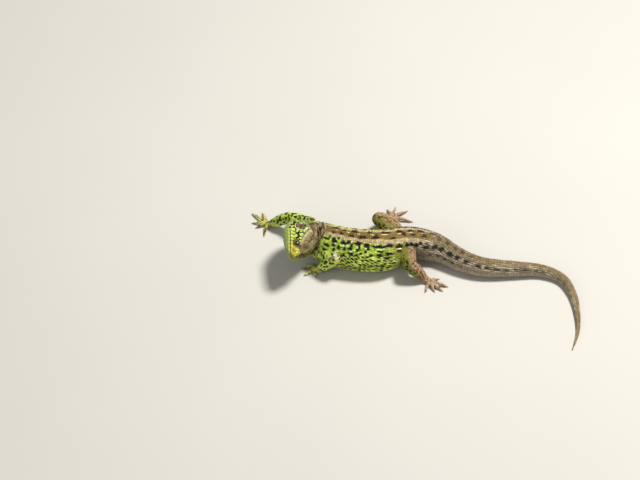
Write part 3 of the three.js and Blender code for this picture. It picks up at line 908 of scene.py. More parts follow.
DASHES = np.array([
    (36.4, -0.009, 0.8, 0.01), (43.2, -0.02, 0.9, 0.011), (49, -0.008, 0.8, 0.011),
    (55.8, -0.01, 1.1, 0.01), (62.2, -0.02, 2, 0.01), (69, -0.004, 1.2, 0.01),
    (75.2, -0.012, 2, 0.012), (81, -0.026, 1.1, 0.013), (87, -0.01, 1.1, 0.013), (93, 0, 1, 0.013),
])


# %% Where the bands and blotches lie
def spine_shift(distance):
    """How far the markings slide round to the left where the hips roll, as a share."""
    return np.interp(distance, [30, 36, 44, 55, 60, 67, 74, 81, 87, 93],
                     [-0.01, -0.02, 0, 0, 0.015, 0.07, 0.115, 0.08, 0.035, 0])


def ovals(distance, share, table, ragged=0.0):
    """1 inside any oval of the table and 0 outside; ragged noise moves the soft edge in and out."""
    inside = np.zeros(distance.shape)
    for d, s, length, height in table:
        inside = np.maximum(inside, fade(0.8, 1.15, oval(distance, share, (d, s), length, height) + ragged))
    return inside


EDGE_AT = (18, 33, 45, 60, 70, 80, 100, 200)


def band_edge(distance):
    """The share where the brown of the back ends."""
    return np.interp(distance, EDGE_AT, (0.1, 0.085, 0.088, 0.1, 0.112, 0.115, 0.15, 0.2))


def stripe_edge(distance):
    """The share where the pale stripe ends and the flank begins."""
    return np.interp(distance, EDGE_AT, (0.14, 0.165, 0.167, 0.19, 0.2, 0.22, 0.27, 0.33))


# %% The trunk
def flattened(distance, share):
    """Places on the body rolled out flat in mm, so that patterns follow the skin."""
    return np.stack([distance, share * half_girth(distance), 0 * share], -1)


def slanting_dashes(distance, arc, seed, long=2.3, pitch=1.3):
    """1 on dashes laid end to end in lines 41 degrees to the body: the lines are a pitch apart, each line's
    dashes start at its own random place, and each dash fills three quarters of its length."""
    along, across = 0.755 * distance + 0.656 * arc, 0.755 * arc - 0.656 * distance
    line = np.floor(across / pitch)
    start = hashed_pair(line, 0 * line, seed)
    step = along / long + start
    odd = hashed_pair(line, np.floor(step), seed + 3)
    thick = np.abs(across / pitch - line - 0.5) + 0.1 * (odd - 0.5)
    end = np.abs(step - np.floor(step) - 0.5)
    return fade(0.31, 0.40, thick) * fade(0.36, 0.42, end) * (odd < 0.93)


def body_colour(distance, share):
    """Bands from spine to belly, the dashes of the lower flank, then blotches, pale spots and dashes."""
    share = share - spine_shift(distance)
    s = np.abs(share)
    arc = s * half_girth(distance)
    flat = flattened(distance, share)
    soft, fine = grain(flat, 2.6, 3), grain(flat, 0.9, 4)
    edge = 0.02 * (soft - 0.5)
    tail = smoothstep(66, 80, distance)
    rear = smoothstep(57, 66, distance)

    flank = mixed(INK.green, INK.lime, smoothstep(0.25, 0.8, fine) * 0.8 + 0.5 * (soft - 0.5))
    flank = mixed(flank, mixed(INK.olive * 0.8, INK.lime, 0.26 * soft), rear)
    flank = mixed(flank, mixed(INK.tail_grey, INK.tail_pale, fine * 0.8), tail)
    belly = mixed(INK.belly, INK.tail_pale, tail)
    base = mixed(flank, belly, smoothstep(0.66, 0.74, s))
    stripe = mixed(INK.stripe * 0.78, INK.stripe * 1.12, smoothstep(0.3, 0.75, fine))
    stripe = mixed(stripe, INK.tail_pale, tail * 0.6)
    narrow = np.where(share < 0, 0.86, 1.0)
    base = mixed(stripe, base, smoothstep(-0.012, 0.012, s - stripe_edge(distance) * narrow - edge))
    back = mixed(INK.back_brown, INK.olive * 0.8, soft * 0.7)
    back = mixed(back, INK.tail_grey * 1.1, smoothstep(84, 96, distance) * 0.8)
    base = mixed(back, base, smoothstep(-0.01, 0.01, s - band_edge(distance) * narrow - edge))

    start = np.interp(distance, [30, 40, 52, 60, 70], [0.5, 0.40, 0.37, 0.37, 0.4])
    lower = smoothstep(start, start + 0.02, s) * fade(0.7, 0.76, s) * fade(60, 66, distance)
    dark = slanting_dashes(distance, arc, 11) * lower * smoothstep(29, 33, distance)
    small, _, which = cells(flat, 1.7, 17)
    upper = (s > stripe_edge(distance) + 0.03) * (s < start) * (distance > 32) * (distance < 58)
    dark = np.maximum(dark, fade(0.22, 0.34, small) * (which < 0.5) * upper)
    specks, _, which = cells(flat, 1.5, 21)
    dark = np.maximum(dark, fade(0.2, 0.3, specks) * (which < 0.3) * smoothstep(0.74, 0.8, s))
    base = mixed(base, INK.lime * 1.2, 0.8 * lower)
    base = mixed(base, INK.black, dark)

    right = np.where(share < 0, 2.2, 0.0)
    ragged = 0.55 * (fine - 0.5)
    base = mixed(base, INK.black, ovals(distance - right, s, FLANK_BLOTCHES * (1, 1, 1.3, 1.35), ragged))
    base = mixed(base, INK.pale_spot, ovals(distance - right, s, PALE_SPOTS, ragged * 0.5))
    for table in (LEFT_BACK_BLOTCHES, RIGHT_BACK_BLOTCHES):
        base = mixed(base, INK.blotch, ovals(distance, share, table * (1, 1, 1.2, 1.4), 1.6 * ragged))
    return mixed(base, INK.dash, ovals(distance, share, DASHES))


# %% The tail
def tail_colour(distance, share):
    """Grey-brown rings of scales with pale streaks, a row of dark marks along each side that drops towards
    the floor, a pale crest under it, and a pale underside."""
    s = np.abs(share - spine_shift(distance))
    flat = flattened(distance, share)
    soft = grain(flat, 3.2, 31)
    fine = grain(flat * (0.7, 2.2, 1), 1.1, 32)
    base = mixed(INK.tail_grey, INK.tail_pale, smoothstep(0.4, 0.85, fine) * 0.85)
    base = mixed(base, INK.back_brown * 0.8, fade(0.1, 0.2, s) * 0.6 + 0.25 * (soft - 0.5))
    base = mixed(base, INK.tail_pale, smoothstep(0.38, 0.62, s) * 0.65)
    row = np.interp(distance, [80, 95, 105, 122, 140, 200], [0.28, 0.25, 0.27, 0.36, 0.36, 0.36])
    crest = bell((s - row - 0.13) / 0.025) * fade(120, 150, distance)
    base = mixed(base, INK.tail_pale * 1.15, crest)
    period = 4.6
    along = (distance - 84) / period
    wobble = hashed_pair(np.floor(along + 0.5), np.sign(share), 41)
    phase = along - np.floor(along + 0.5) + 0.25 * (wobble - 0.5)
    size = np.interp(distance, [80, 110, 150, 200], [1.0, 0.85, 0.6, 0.3])
    q = np.hypot(phase * period / 2.0, (s - row) / 0.08)
    dark = fade(0.75, 1.1, q / size + 0.6 * (fine - 0.5))
    low = np.hypot((phase + 0.3) * period / 0.8, (s - row - 0.21) / 0.04)
    dark = np.maximum(dark, fade(0.8, 1.1, low / size) * fade(100, 125, distance))
    top = np.hypot((phase - 0.2) * period / 1.5, (s - 0.03) / 0.06)
    dark = np.maximum(dark, 0.7 * fade(0.8, 1.1, top / size) * fade(104, 120, distance))
    return mixed(base, INK.black * 1.6, dark * (1 - 0.5 * smoothstep(100, 160, distance)))


# %% The head
def head_colour(behind, left, above):
    """The crown is brown, the snout's end yellow, the cheeks green under a black net, the lips barred."""
    side = np.abs(left)
    place = np.stack([behind, left, above], -1)
    soft, fine = grain(place, 2.2, 51), grain(place, 0.7, 52)
    level = above / section(np.clip(behind, 0.5, 19))[1]
    net_near, net_far, _ = cells(place * (0.9, 1, 1), 2.1, 55)
    net = fade(0.15, 0.27, net_far - net_near)
    cheek = mixed(INK.lime * 1.15, INK.green, 0.6 * soft)
    cheek = mixed(cheek, INK.black, net * smoothstep(7.0, 8.5, behind))
    snout = mixed(INK.snout, INK.lime * 0.85, soft * 0.4)
    # the tip is painted darker: partly its own orange-brown, partly painted shade
    snout = mixed(snout, INK.olive * 1.3, 0.5 * fade(0.8, 3.0, behind))
    cheek = mixed(snout, cheek, smoothstep(5.0, 7.2, behind + 1.2 * (soft - 0.5)))
    slit = above - mouth_above(behind)
    lips = (slit > -0.9) & (slit < 2.3) & (behind < 13.6)
    bars = np.abs(((behind + 0.35 * slit) / 1.8) % 1 - 0.5) * 2
    bar = smoothstep(0.55, 0.7, bars) * smoothstep(5.0, 6.0, behind) * (slit > 0.25)
    pale_lip = mixed(INK.snout, INK.lime, smoothstep(4.5, 9, behind))
    cheek = np.where(lips[..., None], mixed(pale_lip, INK.black, 0.9 * bar), cheek)
    streak = grain(place * (0.6, 1.2, 1), 0.8, 53)
    # painted shade: the head's left side, turned from the light, is painted olive-brown with dark streaks
    # instead of green and yellow
    brown = mixed(INK.crown_dark, INK.olive * 1.25, smoothstep(0.25, 0.55, streak))
    cheek = mixed(cheek, brown, 0.9 * smoothstep(0.9, 2.2, left) * smoothstep(1, 3, behind))
    throat = mixed(INK.throat, INK.lime * 0.6, smoothstep(0.4, 0.8, soft) * 0.35)
    jaw = mixed(throat, INK.snout, 0.35 * fade(0.3, 1.6, -slit))
    base = mixed(cheek, jaw, smoothstep(0.0, 0.35, -slit - 0.15))
    base = mixed(base, jaw, smoothstep(1.4, 2.4, left) * fade(0.3, 1.0, slit))
    # painted shade: a dark line along the mouth's slit, in the crease where shade falls
    base = mixed(base, INK.crown_dark, fade(0.1, 0.3, np.abs(slit)) * (behind < 13.4))
    # painted shade: the nostril's hollow is painted dark
    nostril = oval(behind, above, NOSTRIL_SPOT)
    base = mixed(base, INK.olive * 0.5, fade(0.35, 0.8, nostril) * (side > 0.6))
    eye = oval(behind, above, EYE_SPOT, 2.3, 1.5)
    base = mixed(base, INK.olive * 0.45, fade(0.75, 1.15, eye + 0.3 * (fine - 0.5)) * (side > 1))
    # painted shade: the walls of the ear's hollow are painted a darker brown
    recess = oval(behind, above, EAR_SPOT, 2.1, 1.5)
    base = mixed(base, INK.nape * 0.8, fade(0.85, 1.05, recess) * (side > 4))
    crescent = bell((recess - 1.12) / 0.16) * (behind < EAR_BEHIND + 0.6) * (side > 4)
    base = mixed(base, INK.black, crescent)
    rim = bell((recess - 1.5) / 0.14) * (side > 4)
    base = mixed(base, INK.pale_spot, 0.85 * rim * (behind < 19))
    crown = smoothstep(0.66, 0.76, level + 0.10 * (soft - 0.5)) * smoothstep(3.6, 5.0, behind + (soft - 0.5))
    top_colour = mixed(INK.crown_dark, INK.crown, smoothstep(0.25, 0.5, streak))
    top_colour = mixed(top_colour, INK.stripe, smoothstep(0.55, 0.8, streak) * 0.7)
    edge = bell((level - 0.78) / 0.05) * smoothstep(6, 9, behind) * 0.8
    top_colour = mixed(top_colour, mixed(INK.pale_spot, INK.stripe, 0.4), edge)
    return mixed(base, top_colour, crown)


# %% The neck, and the parts together
def neck_colour(distance, share):
    """Brown and streaked above, a green and black net on the sides, pale green below."""
    s = np.abs(share)
    flat = flattened(distance, share)
    soft = grain(flat, 2.4, 61)
    near, far, own = cells(flat * (0.8, 1, 1), 1.9, 65)
    net = fade(0.2, 0.34, far - near)
    side = mixed(mixed(INK.green, INK.lime, soft), INK.black, net)
    side = mixed(side, INK.pale_spot, (own > 0.55) * fade(0.12, 0.2, near) * 0.8)
    side = mixed(side, INK.throat * 1.3, 0.5 * (share < 0))
    base = mixed(side, INK.throat, smoothstep(0.52, 0.68, s))
    streak = grain(flat * (1.5, 0.45, 1), 0.9, 63)
    top_colour = mixed(INK.crown_dark, INK.nape, smoothstep(0.28, 0.5, streak))
    top_colour = mixed(top_colour, INK.stripe, smoothstep(0.55, 0.78, streak) * 0.9)
    edge = np.where(share > 0, np.interp(distance, [17, 24, 30], [0.27, 0.32, 0.38]), 0.24)
    return mixed(top_colour, base, smoothstep(-0.02, 0.02, s - edge - 0.04 * (soft - 0.5)))


def torso_colour(distance, share, points):
    """The head's colour up to the ears, then the neck's, the trunk's and the tail's, each fading into the
    next over a few millimetres."""
    out = body_colour(distance, share)
    out = mixed(out, tail_colour(distance, share), smoothstep(82, 90, distance))
    out = mixed(neck_colour(distance, share), out, smoothstep(29.6, 31.4, distance))
    return mixed(head_colour(*head_place(points)), out, smoothstep(17.5, 20, distance))


# %% The limbs
def limb_colour(name, t, points, directions):
    """t runs 0 to 1 on the upper length, to 2 on the lower and to 3 on the paw. Directions point out from
    the limb's axis. Arms are green, spotted with black; legs are pink above, green in front, rust spotted."""
    soft, fine = grain(points, 2.4, 71), grain(points, 0.8, 72)
    near, _, own = cells(points, 1.6, 75)
    small, _, which = cells(points, 1.4, 78)
    forward, upward = -directions[..., 0], directions[..., 2]
    if name.startswith("arm"):
        # painted light: the left arm is painted a lighter green than the right, standing in for light on it
        base = mixed(INK.green, INK.lime, (0.5 if name == "arm_left" else 0.25) + 0.5 * soft)
        base = mixed(base, INK.black, fade(0.4, 0.5, near) * (own < 0.93))
        if name == "arm_left":
            elbow = bell((t - 1.0) / 0.09) * smoothstep(-0.2, 0.6, upward)
            base = mixed(base, mixed(INK.elbow, INK.blotch, smoothstep(0.5, 0.62, fine)), elbow)
        hand = mixed(INK.hand, INK.lime, 0.4 * soft)
        hand = mixed(hand, INK.olive * 0.25, smoothstep(0.5, 0.75, fine))
        # painted light: the left hand is painted 1.35 times lighter than the right, lifting it out of the
        # body's shadow
        hand = hand * (1.35 if name == "arm_left" else 1.0)
        base = mixed(base, hand, smoothstep(1.75, 2.1, t))
    else:
        pink = mixed(INK.pink, INK.olive, 0.3 * soft)
        pink = mixed(pink, INK.rust, fade(0.35, 0.45, small) * (which < 0.8))
        green = mixed(INK.olive, INK.green, 0.1 + 0.5 * soft) * 0.8
        green = mixed(green, INK.pink, 0.15 * (name == "leg_right"))
        green = mixed(green, INK.black, fade(0.38, 0.48, near) * (own < 0.93))
        if name == "leg_right":
            front = smoothstep(-0.5, 0.3, forward + 0.5 * (soft - 0.5))
            base = mixed(pink, green, front * np.exp(-(((t - 0.85) / 0.6) ** 4)))
        else:
            front = smoothstep(-0.45, 0.3, forward + 0.5 * (soft - 0.5)) * fade(1.6, 2.0, t)
            base = mixed(pink, green, np.maximum(front, fade(-0.5, -0.2, upward)))
        foot = mixed(mixed(INK.pink_pale, INK.pink, soft), INK.rust, smoothstep(0.6, 0.8, fine) * 0.6)
        base = mixed(base, foot, smoothstep(1.8, 2.15, t))
    return mixed(base, INK.belly * 0.9, fade(-0.9, -0.6, upward) * 0.6)


# %% The skin's colour at each point
def limb_field(name, points):
    """How far each point is outside the nearest length of a limb, its t, and its direction from the axis."""
    best = np.full(len(points), 1e9)
    t, directions = np.zeros(len(points)), np.zeros((len(points), 3))
    for k, pod in enumerate(PARTS[name][0]):
        gap = pod.depth(points)
        offset = points - pod.start
        share = np.clip(offset @ pod.ahead / pod.length, 0, 1)
        out = unit(offset - (share * pod.length)[:, None] * pod.ahead)
        nearer = gap < best
        best, t = np.where(nearer, gap, best), np.where(nearer, k + share, t)
        directions = np.where(nearer[:, None], out, directions)
    palm = LIMBS[name][1][3]
    beyond = np.linalg.norm(points - palm, axis=1)
    toes = (beyond < 11) & (points[:, 2] < 3.4) & (best > 0.3)
    best = np.where(toes, 0.05, best)
    return best, np.where(toes, 3.0, t), directions


points = get_points(skin_mesh)
skin_d, skin_share, skin_depth = body_place(points)
skin_colour = torso_colour(skin_d, skin_share, points)
body_gap = (skin_depth - 1) * np.minimum(*section(skin_d)[:2])
for name in LIMBS:
    gap, t, directions = limb_field(name, points)
    nearer = smoothstep(-0.5, 0.5, np.abs(body_gap) - np.abs(gap)) * (gap < 1.5)
    if name.startswith("leg"):
        nearer = nearer * smoothstep(0.2, 0.55, t)
    skin_colour = mixed(skin_colour, limb_colour(name, t, points, directions), nearer)


def paint(mesh, values, attribute="Markings"):
    """Writes one colour for each vertex into an attribute of the mesh."""
    layer = mesh.color_attributes.new(name=attribute, type="FLOAT_COLOR", domain="POINT")
    rgba = np.ones((len(values), 4), np.float32)
    rgba[:, :3] = np.clip(values, 0, 1)
    layer.data.foreach_set("color", rgba.ravel())


paint(skin_mesh, skin_colour * 0.7)
print("skin painted")


# %% [markdown]
# ## The shape of one scale
# A scale is a thin horny plate: its root is tucked under the scale in front, its back edge is free and stands
# a little higher, and on the back it has a keel. Four stations from root to tip with five points each are
# enough for that, and a many-sided face closes it underneath. Back, belly, tail and head differ only in the
# widths and heights at the stations.


# %% A scale from stations
class Shape:
    """x: share of the length at each of the 20 points; y: share of the width; h: share of the height."""

    def __init__(self, stations, widths, rises, shoulder=0.75, keel=1.0, edge=-0.25, spread=0.29):
        across = np.array([-0.5, -spread, 0, spread, 0.5])
        self.x = np.repeat(stations, 5)
        self.y = (np.array(widths)[:, None] * across).ravel()
        profile = np.array([0, shoulder, keel, shoulder, 0])
        sunk = np.array([edge, edge, edge, 0.25 * rises[3]])[:, None] * (profile == 0)
        self.h = (np.array(rises)[:, None] * profile + sunk).ravel()
        self.rim = np.array([0, 5, 10, 15, 16, 17, 18, 19, 14, 9, 4, 3, 2, 1])
        self.edge = np.ones(20)
        self.edge[[6, 7, 8, 11, 12, 13]] = 0


KEELED = Shape([-0.15, 0.3, 0.75, 1.12], [0.7, 1.0, 0.86, 0.12],
               [0.0, 0.62, 1.0, 0.9], shoulder=0.62, keel=1.12)
FLANK = Shape([-0.15, 0.25, 0.72, 1.1], [0.62, 0.98, 0.9, 0.34],
              [0.0, 0.68, 1.0, 0.8], shoulder=0.8)
BEAD = Shape([-0.05, 0.25, 0.68, 1.0], [0.45, 0.95, 0.92, 0.4],
             [0.0, 0.9, 1.0, 0.25], shoulder=0.84)
PLATE = Shape([-0.12, 0.2, 0.85, 1.08], [0.92, 0.98, 0.97, 0.8],
              [0.0, 0.7, 1.0, 0.9], shoulder=0.95, spread=0.4)
WHORL = Shape([-0.12, 0.2, 0.8, 1.08], [0.84, 0.96, 0.9, 0.45],
              [0.0, 0.7, 1.0, 0.95], shoulder=0.6, keel=1.15)
TRIANGLES_ON_SCALE = 12 * 2 + 12
print("triangles on one scale:", TRIANGLES_ON_SCALE)

# %% [markdown]
# ## Laying scales on a surface
# A coat is a list of roots on a surface of two numbers. The template is bent over the surface by adding its
# lengths to the root's two numbers, so no scale has to be turned by hand. The real skin is slightly
# different from the ideal surface at joints and folds, so one shrinkwrap moves all points on to it and a
# second, a little above it, gives the direction in which each point is then raised.

# %% One batch of scales
BATCHES = {}
# a scale's one colour is asked for near its middle, and mixed with the colour at each of its points
COLOUR_AT, OWN_TONE = 0.45, 0.6
# lightness varies from scale to scale, and falls towards the rim
SPECK_LOW, SPECK_RANGE, RIM_DARK = 0.76, 0.46, 0.5
PATCH_SIZE = 0.003


def laid(piece):
    """How many scales a piece has so far."""
    return sum(len(batch[0]) for batch in BATCHES[piece])


def lay(piece, surface, half_girth_at, along, share, length, width, height, shape, paint_with, island):
    """Adds a batch: roots (along, share), sizes in mm for each root, a colour function of (along, share,
    points), and the part of the unwrap (x0, y0, x1, y1) that the surface has."""
    length, width, height = (np.broadcast_to(v, along.shape).astype(float) for v in (length, width, height))
    a = along[:, None] + shape.x * length[:, None]
    b = share[:, None] + shape.y * width[:, None] / half_girth_at(along)[:, None]
    points = surface(a, b)
    middle_at = along + COLOUR_AT * length
    middle = paint_with(middle_at, share, surface(middle_at, share))
    own = paint_with(a, b, points)
    tones = (1 - OWN_TONE) * middle[:, None] + OWN_TONE * own
    speck = SPECK_LOW + SPECK_RANGE * hashed_pair(along * 97, share * 5003, 5)
    tones = tones * speck[:, None, None] * (1 - RIM_DARK * shape.edge)[None, :, None]
    x0, y0, x1, y1, reach = island
    root = np.stack([x0 + (x1 - x0) * along / reach, y0 + (y1 - y0) * (share + 1) / 2], -1)
    patch = root[:, None] + PATCH_SIZE * np.stack([shape.x - 0.5, shape.y], -1)
    BATCHES.setdefault(piece, []).append((points, shape.h * height[:, None], tones, patch, shape.rim, length))


def rows_of(start, end, step, columns, first=-1, last=1, stagger=True):
    """Roots in rows across the body: rows a step apart, columns evenly placed between two shares, and every
    other row shifted by half a scale. Step and columns are numbers or functions of the distance. Returns
    distances and shares."""
    distances, shares, d, k = [], [], start, 0
    while d < end:
        n = columns(d) if callable(columns) else columns
        q = (np.arange(n) + (0.5 if not stagger or k % 2 else 0.0)) / n
        distances.append(np.full(n, d))
        shares.append(first + (last - first) * q)
        d, k = d + (step(d) if callable(step) else step), k + 1
    return np.concatenate(distances), np.concatenate(shares)


# %% [markdown]
# ## Back, flanks and belly
# The small keeled scales of the back widen down the flanks. The belly has six to eight rows of broad
# plates in straight lines. The spine's scales are the narrowest of all.

# %% Back and flank scales
BELLY_SHARE = 0.64
BACK_COLUMNS, BACK_STEP = 46, 0.95
BODY_ISLAND = (0.02, 0.02, 0.98, 0.98, BODY_LENGTH)
CROWDING = 0.26


def spread(q, most):
    """Columns close together at the spine and further apart down the side: a sum of q and q^2."""
    return np.sign(q) * most * ((1 - CROWDING) * np.abs(q) + CROWDING * q**2)


def spread_width(q, most, columns, distance):
    """How wide a column is after the spreading: the slope of the sum times its share of the girth."""
    return 2 / columns * most * (1 - CROWDING + 2 * CROWDING * np.abs(q)) * half_girth(distance)


def skin_point(distance, share):
    """The body's surface at the skin's depth."""
    return body_point(distance, share, BODY_INSET, floor_at=SKIN_FLOOR)


def torso_paint(distance, share, points):
    """The body's colour, for scales that know their own place on it."""
    return torso_colour(distance, (share + 1) % 2 - 1, points)


def lay_on_body(piece, distance, share, length, width, height, shape):
    """A batch on the body, in the body's own colours."""
    sizes = (length, width, height)
    lay(piece, skin_point, half_girth, distance, share, *sizes, shape, torso_paint, BODY_ISLAND)


d, q = rows_of(NECK_END, VENT, BACK_STEP, BACK_COLUMNS)
share = spread(q, BELLY_SHARE)
width = spread_width(q, BELLY_SHARE, BACK_COLUMNS, d) * 1.08
on_back = np.abs(share) < 0.2
for chosen, shape, rise in ((on_back, KEELED, 0.25), (~on_back, FLANK, 0.24)):
    lay_on_body("trunk_scales", d[chosen], share[chosen], BACK_STEP * 1.22, width[chosen], rise, shape)
print("trunk scales", len(d))

# %% Belly plates
BELLY_COLUMNS, BELLY_STEP = 8, 1.95
VENT_PLATE_LENGTH, VENT_PLATE_WIDTH = 2.6, 8.0

d, q = rows_of(NECK_END, VENT - 2.5, BELLY_STEP, BELLY_COLUMNS, 0, stagger=False)
share = BELLY_SHARE + q * 2 * (1 - BELLY_SHARE)
width = 2 * (1 - BELLY_SHARE) / BELLY_COLUMNS * half_girth(d) * 0.97
lay_on_body("belly_plates", d, share, BELLY_STEP * 1.1, width, 0.2, PLATE)
lay_on_body("belly_plates", np.array([VENT - VENT_PLATE_LENGTH]), np.array([1.0]), VENT_PLATE_LENGTH,
            VENT_PLATE_WIDTH, 0.2, PLATE)
print("belly plates", len(q) + 1)

# %% Tail whorls
WHORL_STEP, WHORL_WIDTH = 1.38, 1.12


def even_columns(width, least):
    """For a distance, the even number of scales of about that width, at least a few."""
    return lambda distance: max(least, 2 * round(float(half_girth(distance)) / width))


def whorl_step(distance):
    """The whorls are closer near the tip."""
    return WHORL_STEP - 0.3 * (distance > 150)


whorl_columns = even_columns(WHORL_WIDTH, 6)
d, share = rows_of(VENT - 0.4, BODY_LENGTH - 2.2, whorl_step, whorl_columns, stagger=False)
width = np.array([2 * half_girth(v) / whorl_columns(v) for v in d]) * 1.02
slim = np.interp(d, [80, 160, 200], [1, 0.75, 0.5])
lay_on_body("tail_scales", d, share, WHORL_STEP * 1.16, width, 0.25 * slim, WHORL)
print("tail scales", len(d))

# %% Neck and throat
NECK_COLUMNS, THROAT_COLUMNS, THROAT_SHARE = 56, 14, 0.7
COLLAR_D, COLLAR_PLATES, COLLAR_SHARE = 28.2, 11, 0.62

# the bend stretches the right side, so its rows are closer
for side, closer in ((1, 1.0), (-1, 0.62)):
    step = 0.72 * closer
    d, q = rows_of(18.9, NECK_END, step, NECK_COLUMNS)
    d, q = d[q * side >= 0], q[q * side >= 0]
    width = spread_width(q, THROAT_SHARE, NECK_COLUMNS, d) * 1.04
    lay_on_body("neck_scales", d, spread(q, THROAT_SHARE), step * 1.2, width, 0.2, BEAD)
    step = 0.95 * closer
    d, q = rows_of(13.5, COLLAR_D, step, THROAT_COLUMNS, 0)
    d, q = d[(0.5 - q) * side >= 0], q[(0.5 - q) * side >= 0]
    across = 2 * (1 - THROAT_SHARE)
    width = across / THROAT_COLUMNS * half_girth(d) * 1.04
    lay_on_body("neck_scales", d, THROAT_SHARE + across * q, step * 1.2, width, 0.2, FLANK)
across = 2 * (1 - COLLAR_SHARE)
share = COLLAR_SHARE + (np.arange(COLLAR_PLATES) + 0.5) / COLLAR_PLATES * across
width = across / COLLAR_PLATES * half_girth(COLLAR_D)
lay_on_body("neck_scales", np.full(COLLAR_PLATES, COLLAR_D), share, 1.7, width, 0.3, FLANK)
print("neck and throat scales", laid("neck_scales"))

# %% [markdown]
# ## The head
# The crown is roofed by large smooth shields in pairs about the midline, and the lips by a row of squarish
# ones. The cheeks between them have small round scales. A shield is an outline in the crown's own plane,
# drawn once for the left side and mirrored, filled with three rings towards its middle.

# %% The crown's shields
# corner points as (distance behind the snout, distance from the midline)
MIDDLE_SHIELDS = {
    "frontonasal": [(1.7, 0), (1.97, 0.82), (2.65, 1.11), (3.33, 0.63), (3.6, 0)],
    "frontal": [(4.21, 0), (4.52, 0.91), (6.42, 0.87), (8.67, 0.75), (9.33, 0)],
    "interparietal": [(11.09, 0), (11.74, 0.57), (14.07, 0.35), (14.2, 0)],
    "occipital": [(14.34, 0), (14.41, 0.37), (16.19, 0.72), (16.61, 0)],
}
PAIRED_SHIELDS = {
    "supranasal": [(0.73, 0.03), (1.66, 0.03), (1.94, 0.82), (1.7, 1.37), (0.89, 1.01)],
    "loreal": [(1.77, 1.4), (2.04, 0.89), (2.65, 1.18), (3.4, 1.84), (3.12, 2.25), (2.17, 1.86)],
    "prefrontal": [
        (3.64, 0.04), (3.4, 0.67), (2.72, 1.15), (3.4, 1.73), (4.13, 1.69), (4.44, 0.87), (4.17, 0.04),
    ],
    "first_supraocular": [(4.21, 1.69), (4.52, 1.02), (4.74, 1.02), (5.13, 2.43), (4.36, 2.38)],
    "second_supraocular": [(4.82, 0.99), (6.42, 0.95), (6.59, 2.96), (5.2, 2.65)],
    "third_supraocular": [(6.5, 0.95), (8.67, 0.83), (8.95, 1.92), (8.48, 3.09), (6.74, 3.05)],
    "fourth_supraocular": [(9.05, 2), (9.8, 2.33), (9.71, 3.38), (8.62, 3.17)],
    "frontoparietal": [(9.42, 0.04), (8.76, 0.8), (9.05, 1.92), (9.93, 2.18), (11.61, 1.02), (10.96, 0.04)],
    "parietal": [
        (11.74, 1.06), (10.06, 2.26), (9.93, 3.71), (13.42, 4.3), (17.04, 4.07), (18.6, 2.23),
        (16.75, 0.8), (14.2, 0.5), (11.87, 0.65),
    ],
}


# %% From outlines to shields
OUTLINE_STEP, HAIR_GAP = 0.45, 0.07


def closed_outline(corners, mirror):
    """The outline walked in even steps, its corners rounded a little and drawn in by a hair's gap."""
    corners = np.array(corners, float)
    if mirror:
        corners = np.vstack([corners, (corners * (1, -1))[-2:0:-1]])
    parts = []
    for a, b in zip(corners, np.roll(corners, -1, axis=0)):
        count = max(2, int(np.ceil(np.hypot(*(b - a)) / OUTLINE_STEP)))
        parts.append(a + (b - a) * np.linspace(0, 1, count, endpoint=False)[:, None])
    line = np.vstack(parts)
    line = 0.5 * line + 0.25 * (np.roll(line, 1, axis=0) + np.roll(line, -1, axis=0))
    middle = line.mean(0)
    return line - unit(line - middle) * HAIR_GAP, middle


def crown_point(behind, left):
    """On the crown: height = top x (1 - (left / (wide x taper))^n)^(1/n), worked out three times because the
    taper depends on the height."""
    wide, top, _ = section(behind)
    n = squareness(behind)
    level = np.full(behind.shape, 0.9)
    for _ in range(3):
        across = np.abs(left) / ((wide - BODY_INSET) * taper(behind, level))
        level = np.maximum(1 - across**n, 0.02) ** (1 / n)
    _, side, up = axes(behind)
    return centre(behind) + left[..., None] * side + ((top - BODY_INSET) * level)[..., None] * up


# size of each ring against the outline, and its height against the shield's
SHIELD_RINGS = ((1.0, -0.3), (0.93, 0.85), (0.6, 1.0), (0.0, 1.0))


def shield(corners, mirror=False, flip=False, height=0.12):
    """Rings of the outline drawn towards its middle, the outer one sunk in the skin; faces between rings, a
    fan at the middle and one face beneath."""
    line, middle = closed_outline(corners, mirror)
    if flip:
        line, middle = line * (1, -1), middle * (1, -1)
    rings = [middle + (line - middle) * size for size, _ in SHIELD_RINGS[:-1]]
    flat = np.vstack(rings + [middle[None]])
    n = len(line)
    rise = height * np.r_[np.repeat([h for _, h in SHIELD_RINGS[:-1]], n), SHIELD_RINGS[-1][1]]
    j, k = np.arange(n), (np.arange(n) + 1) % n
    quads = np.vstack([np.stack([r * n + j, r * n + k, (r + 1) * n + k, (r + 1) * n + j], 1) for r in (0, 1)])
    fan = np.stack([2 * n + j, 2 * n + k, np.full(n, 3 * n)], 1)
    under = np.arange(n)[::-1][None]
    return flat, rise, [quads, fan, under]


SHIELDS = [shield(corners, mirror=True) for corners in MIDDLE_SHIELDS.values()]
for corners in PAIRED_SHIELDS.values():
    SHIELDS += [shield(corners), shield(corners, flip=True)]
print("crown shields", len(SHIELDS))

# %% Lip shields
LIP_HEIGHT, LIP_COUNT, LIP_START, LIP_END = 1.3, 7, 0.75, 13.2
LIP_GAP, LIP_LEAN = 0.12, 0.25


def cheek_point(behind, above, sign):
    """On the side of the head: half width = wide x taper x (1 - (above / height)^n)^(1/n)."""
    wide, top, bottom = section(behind)
    n = squareness(behind)
    tall = np.where(above > 0, top, bottom) - BODY_INSET
    level = np.clip(above / tall, -1, 1)
    left = (wide - BODY_INSET) * taper(behind, level) * np.maximum(1 - np.abs(level) ** n, 0.02) ** (1 / n)
    _, side, up = axes(behind)
    return centre(behind) + sign * left[..., None] * side + above[..., None] * up


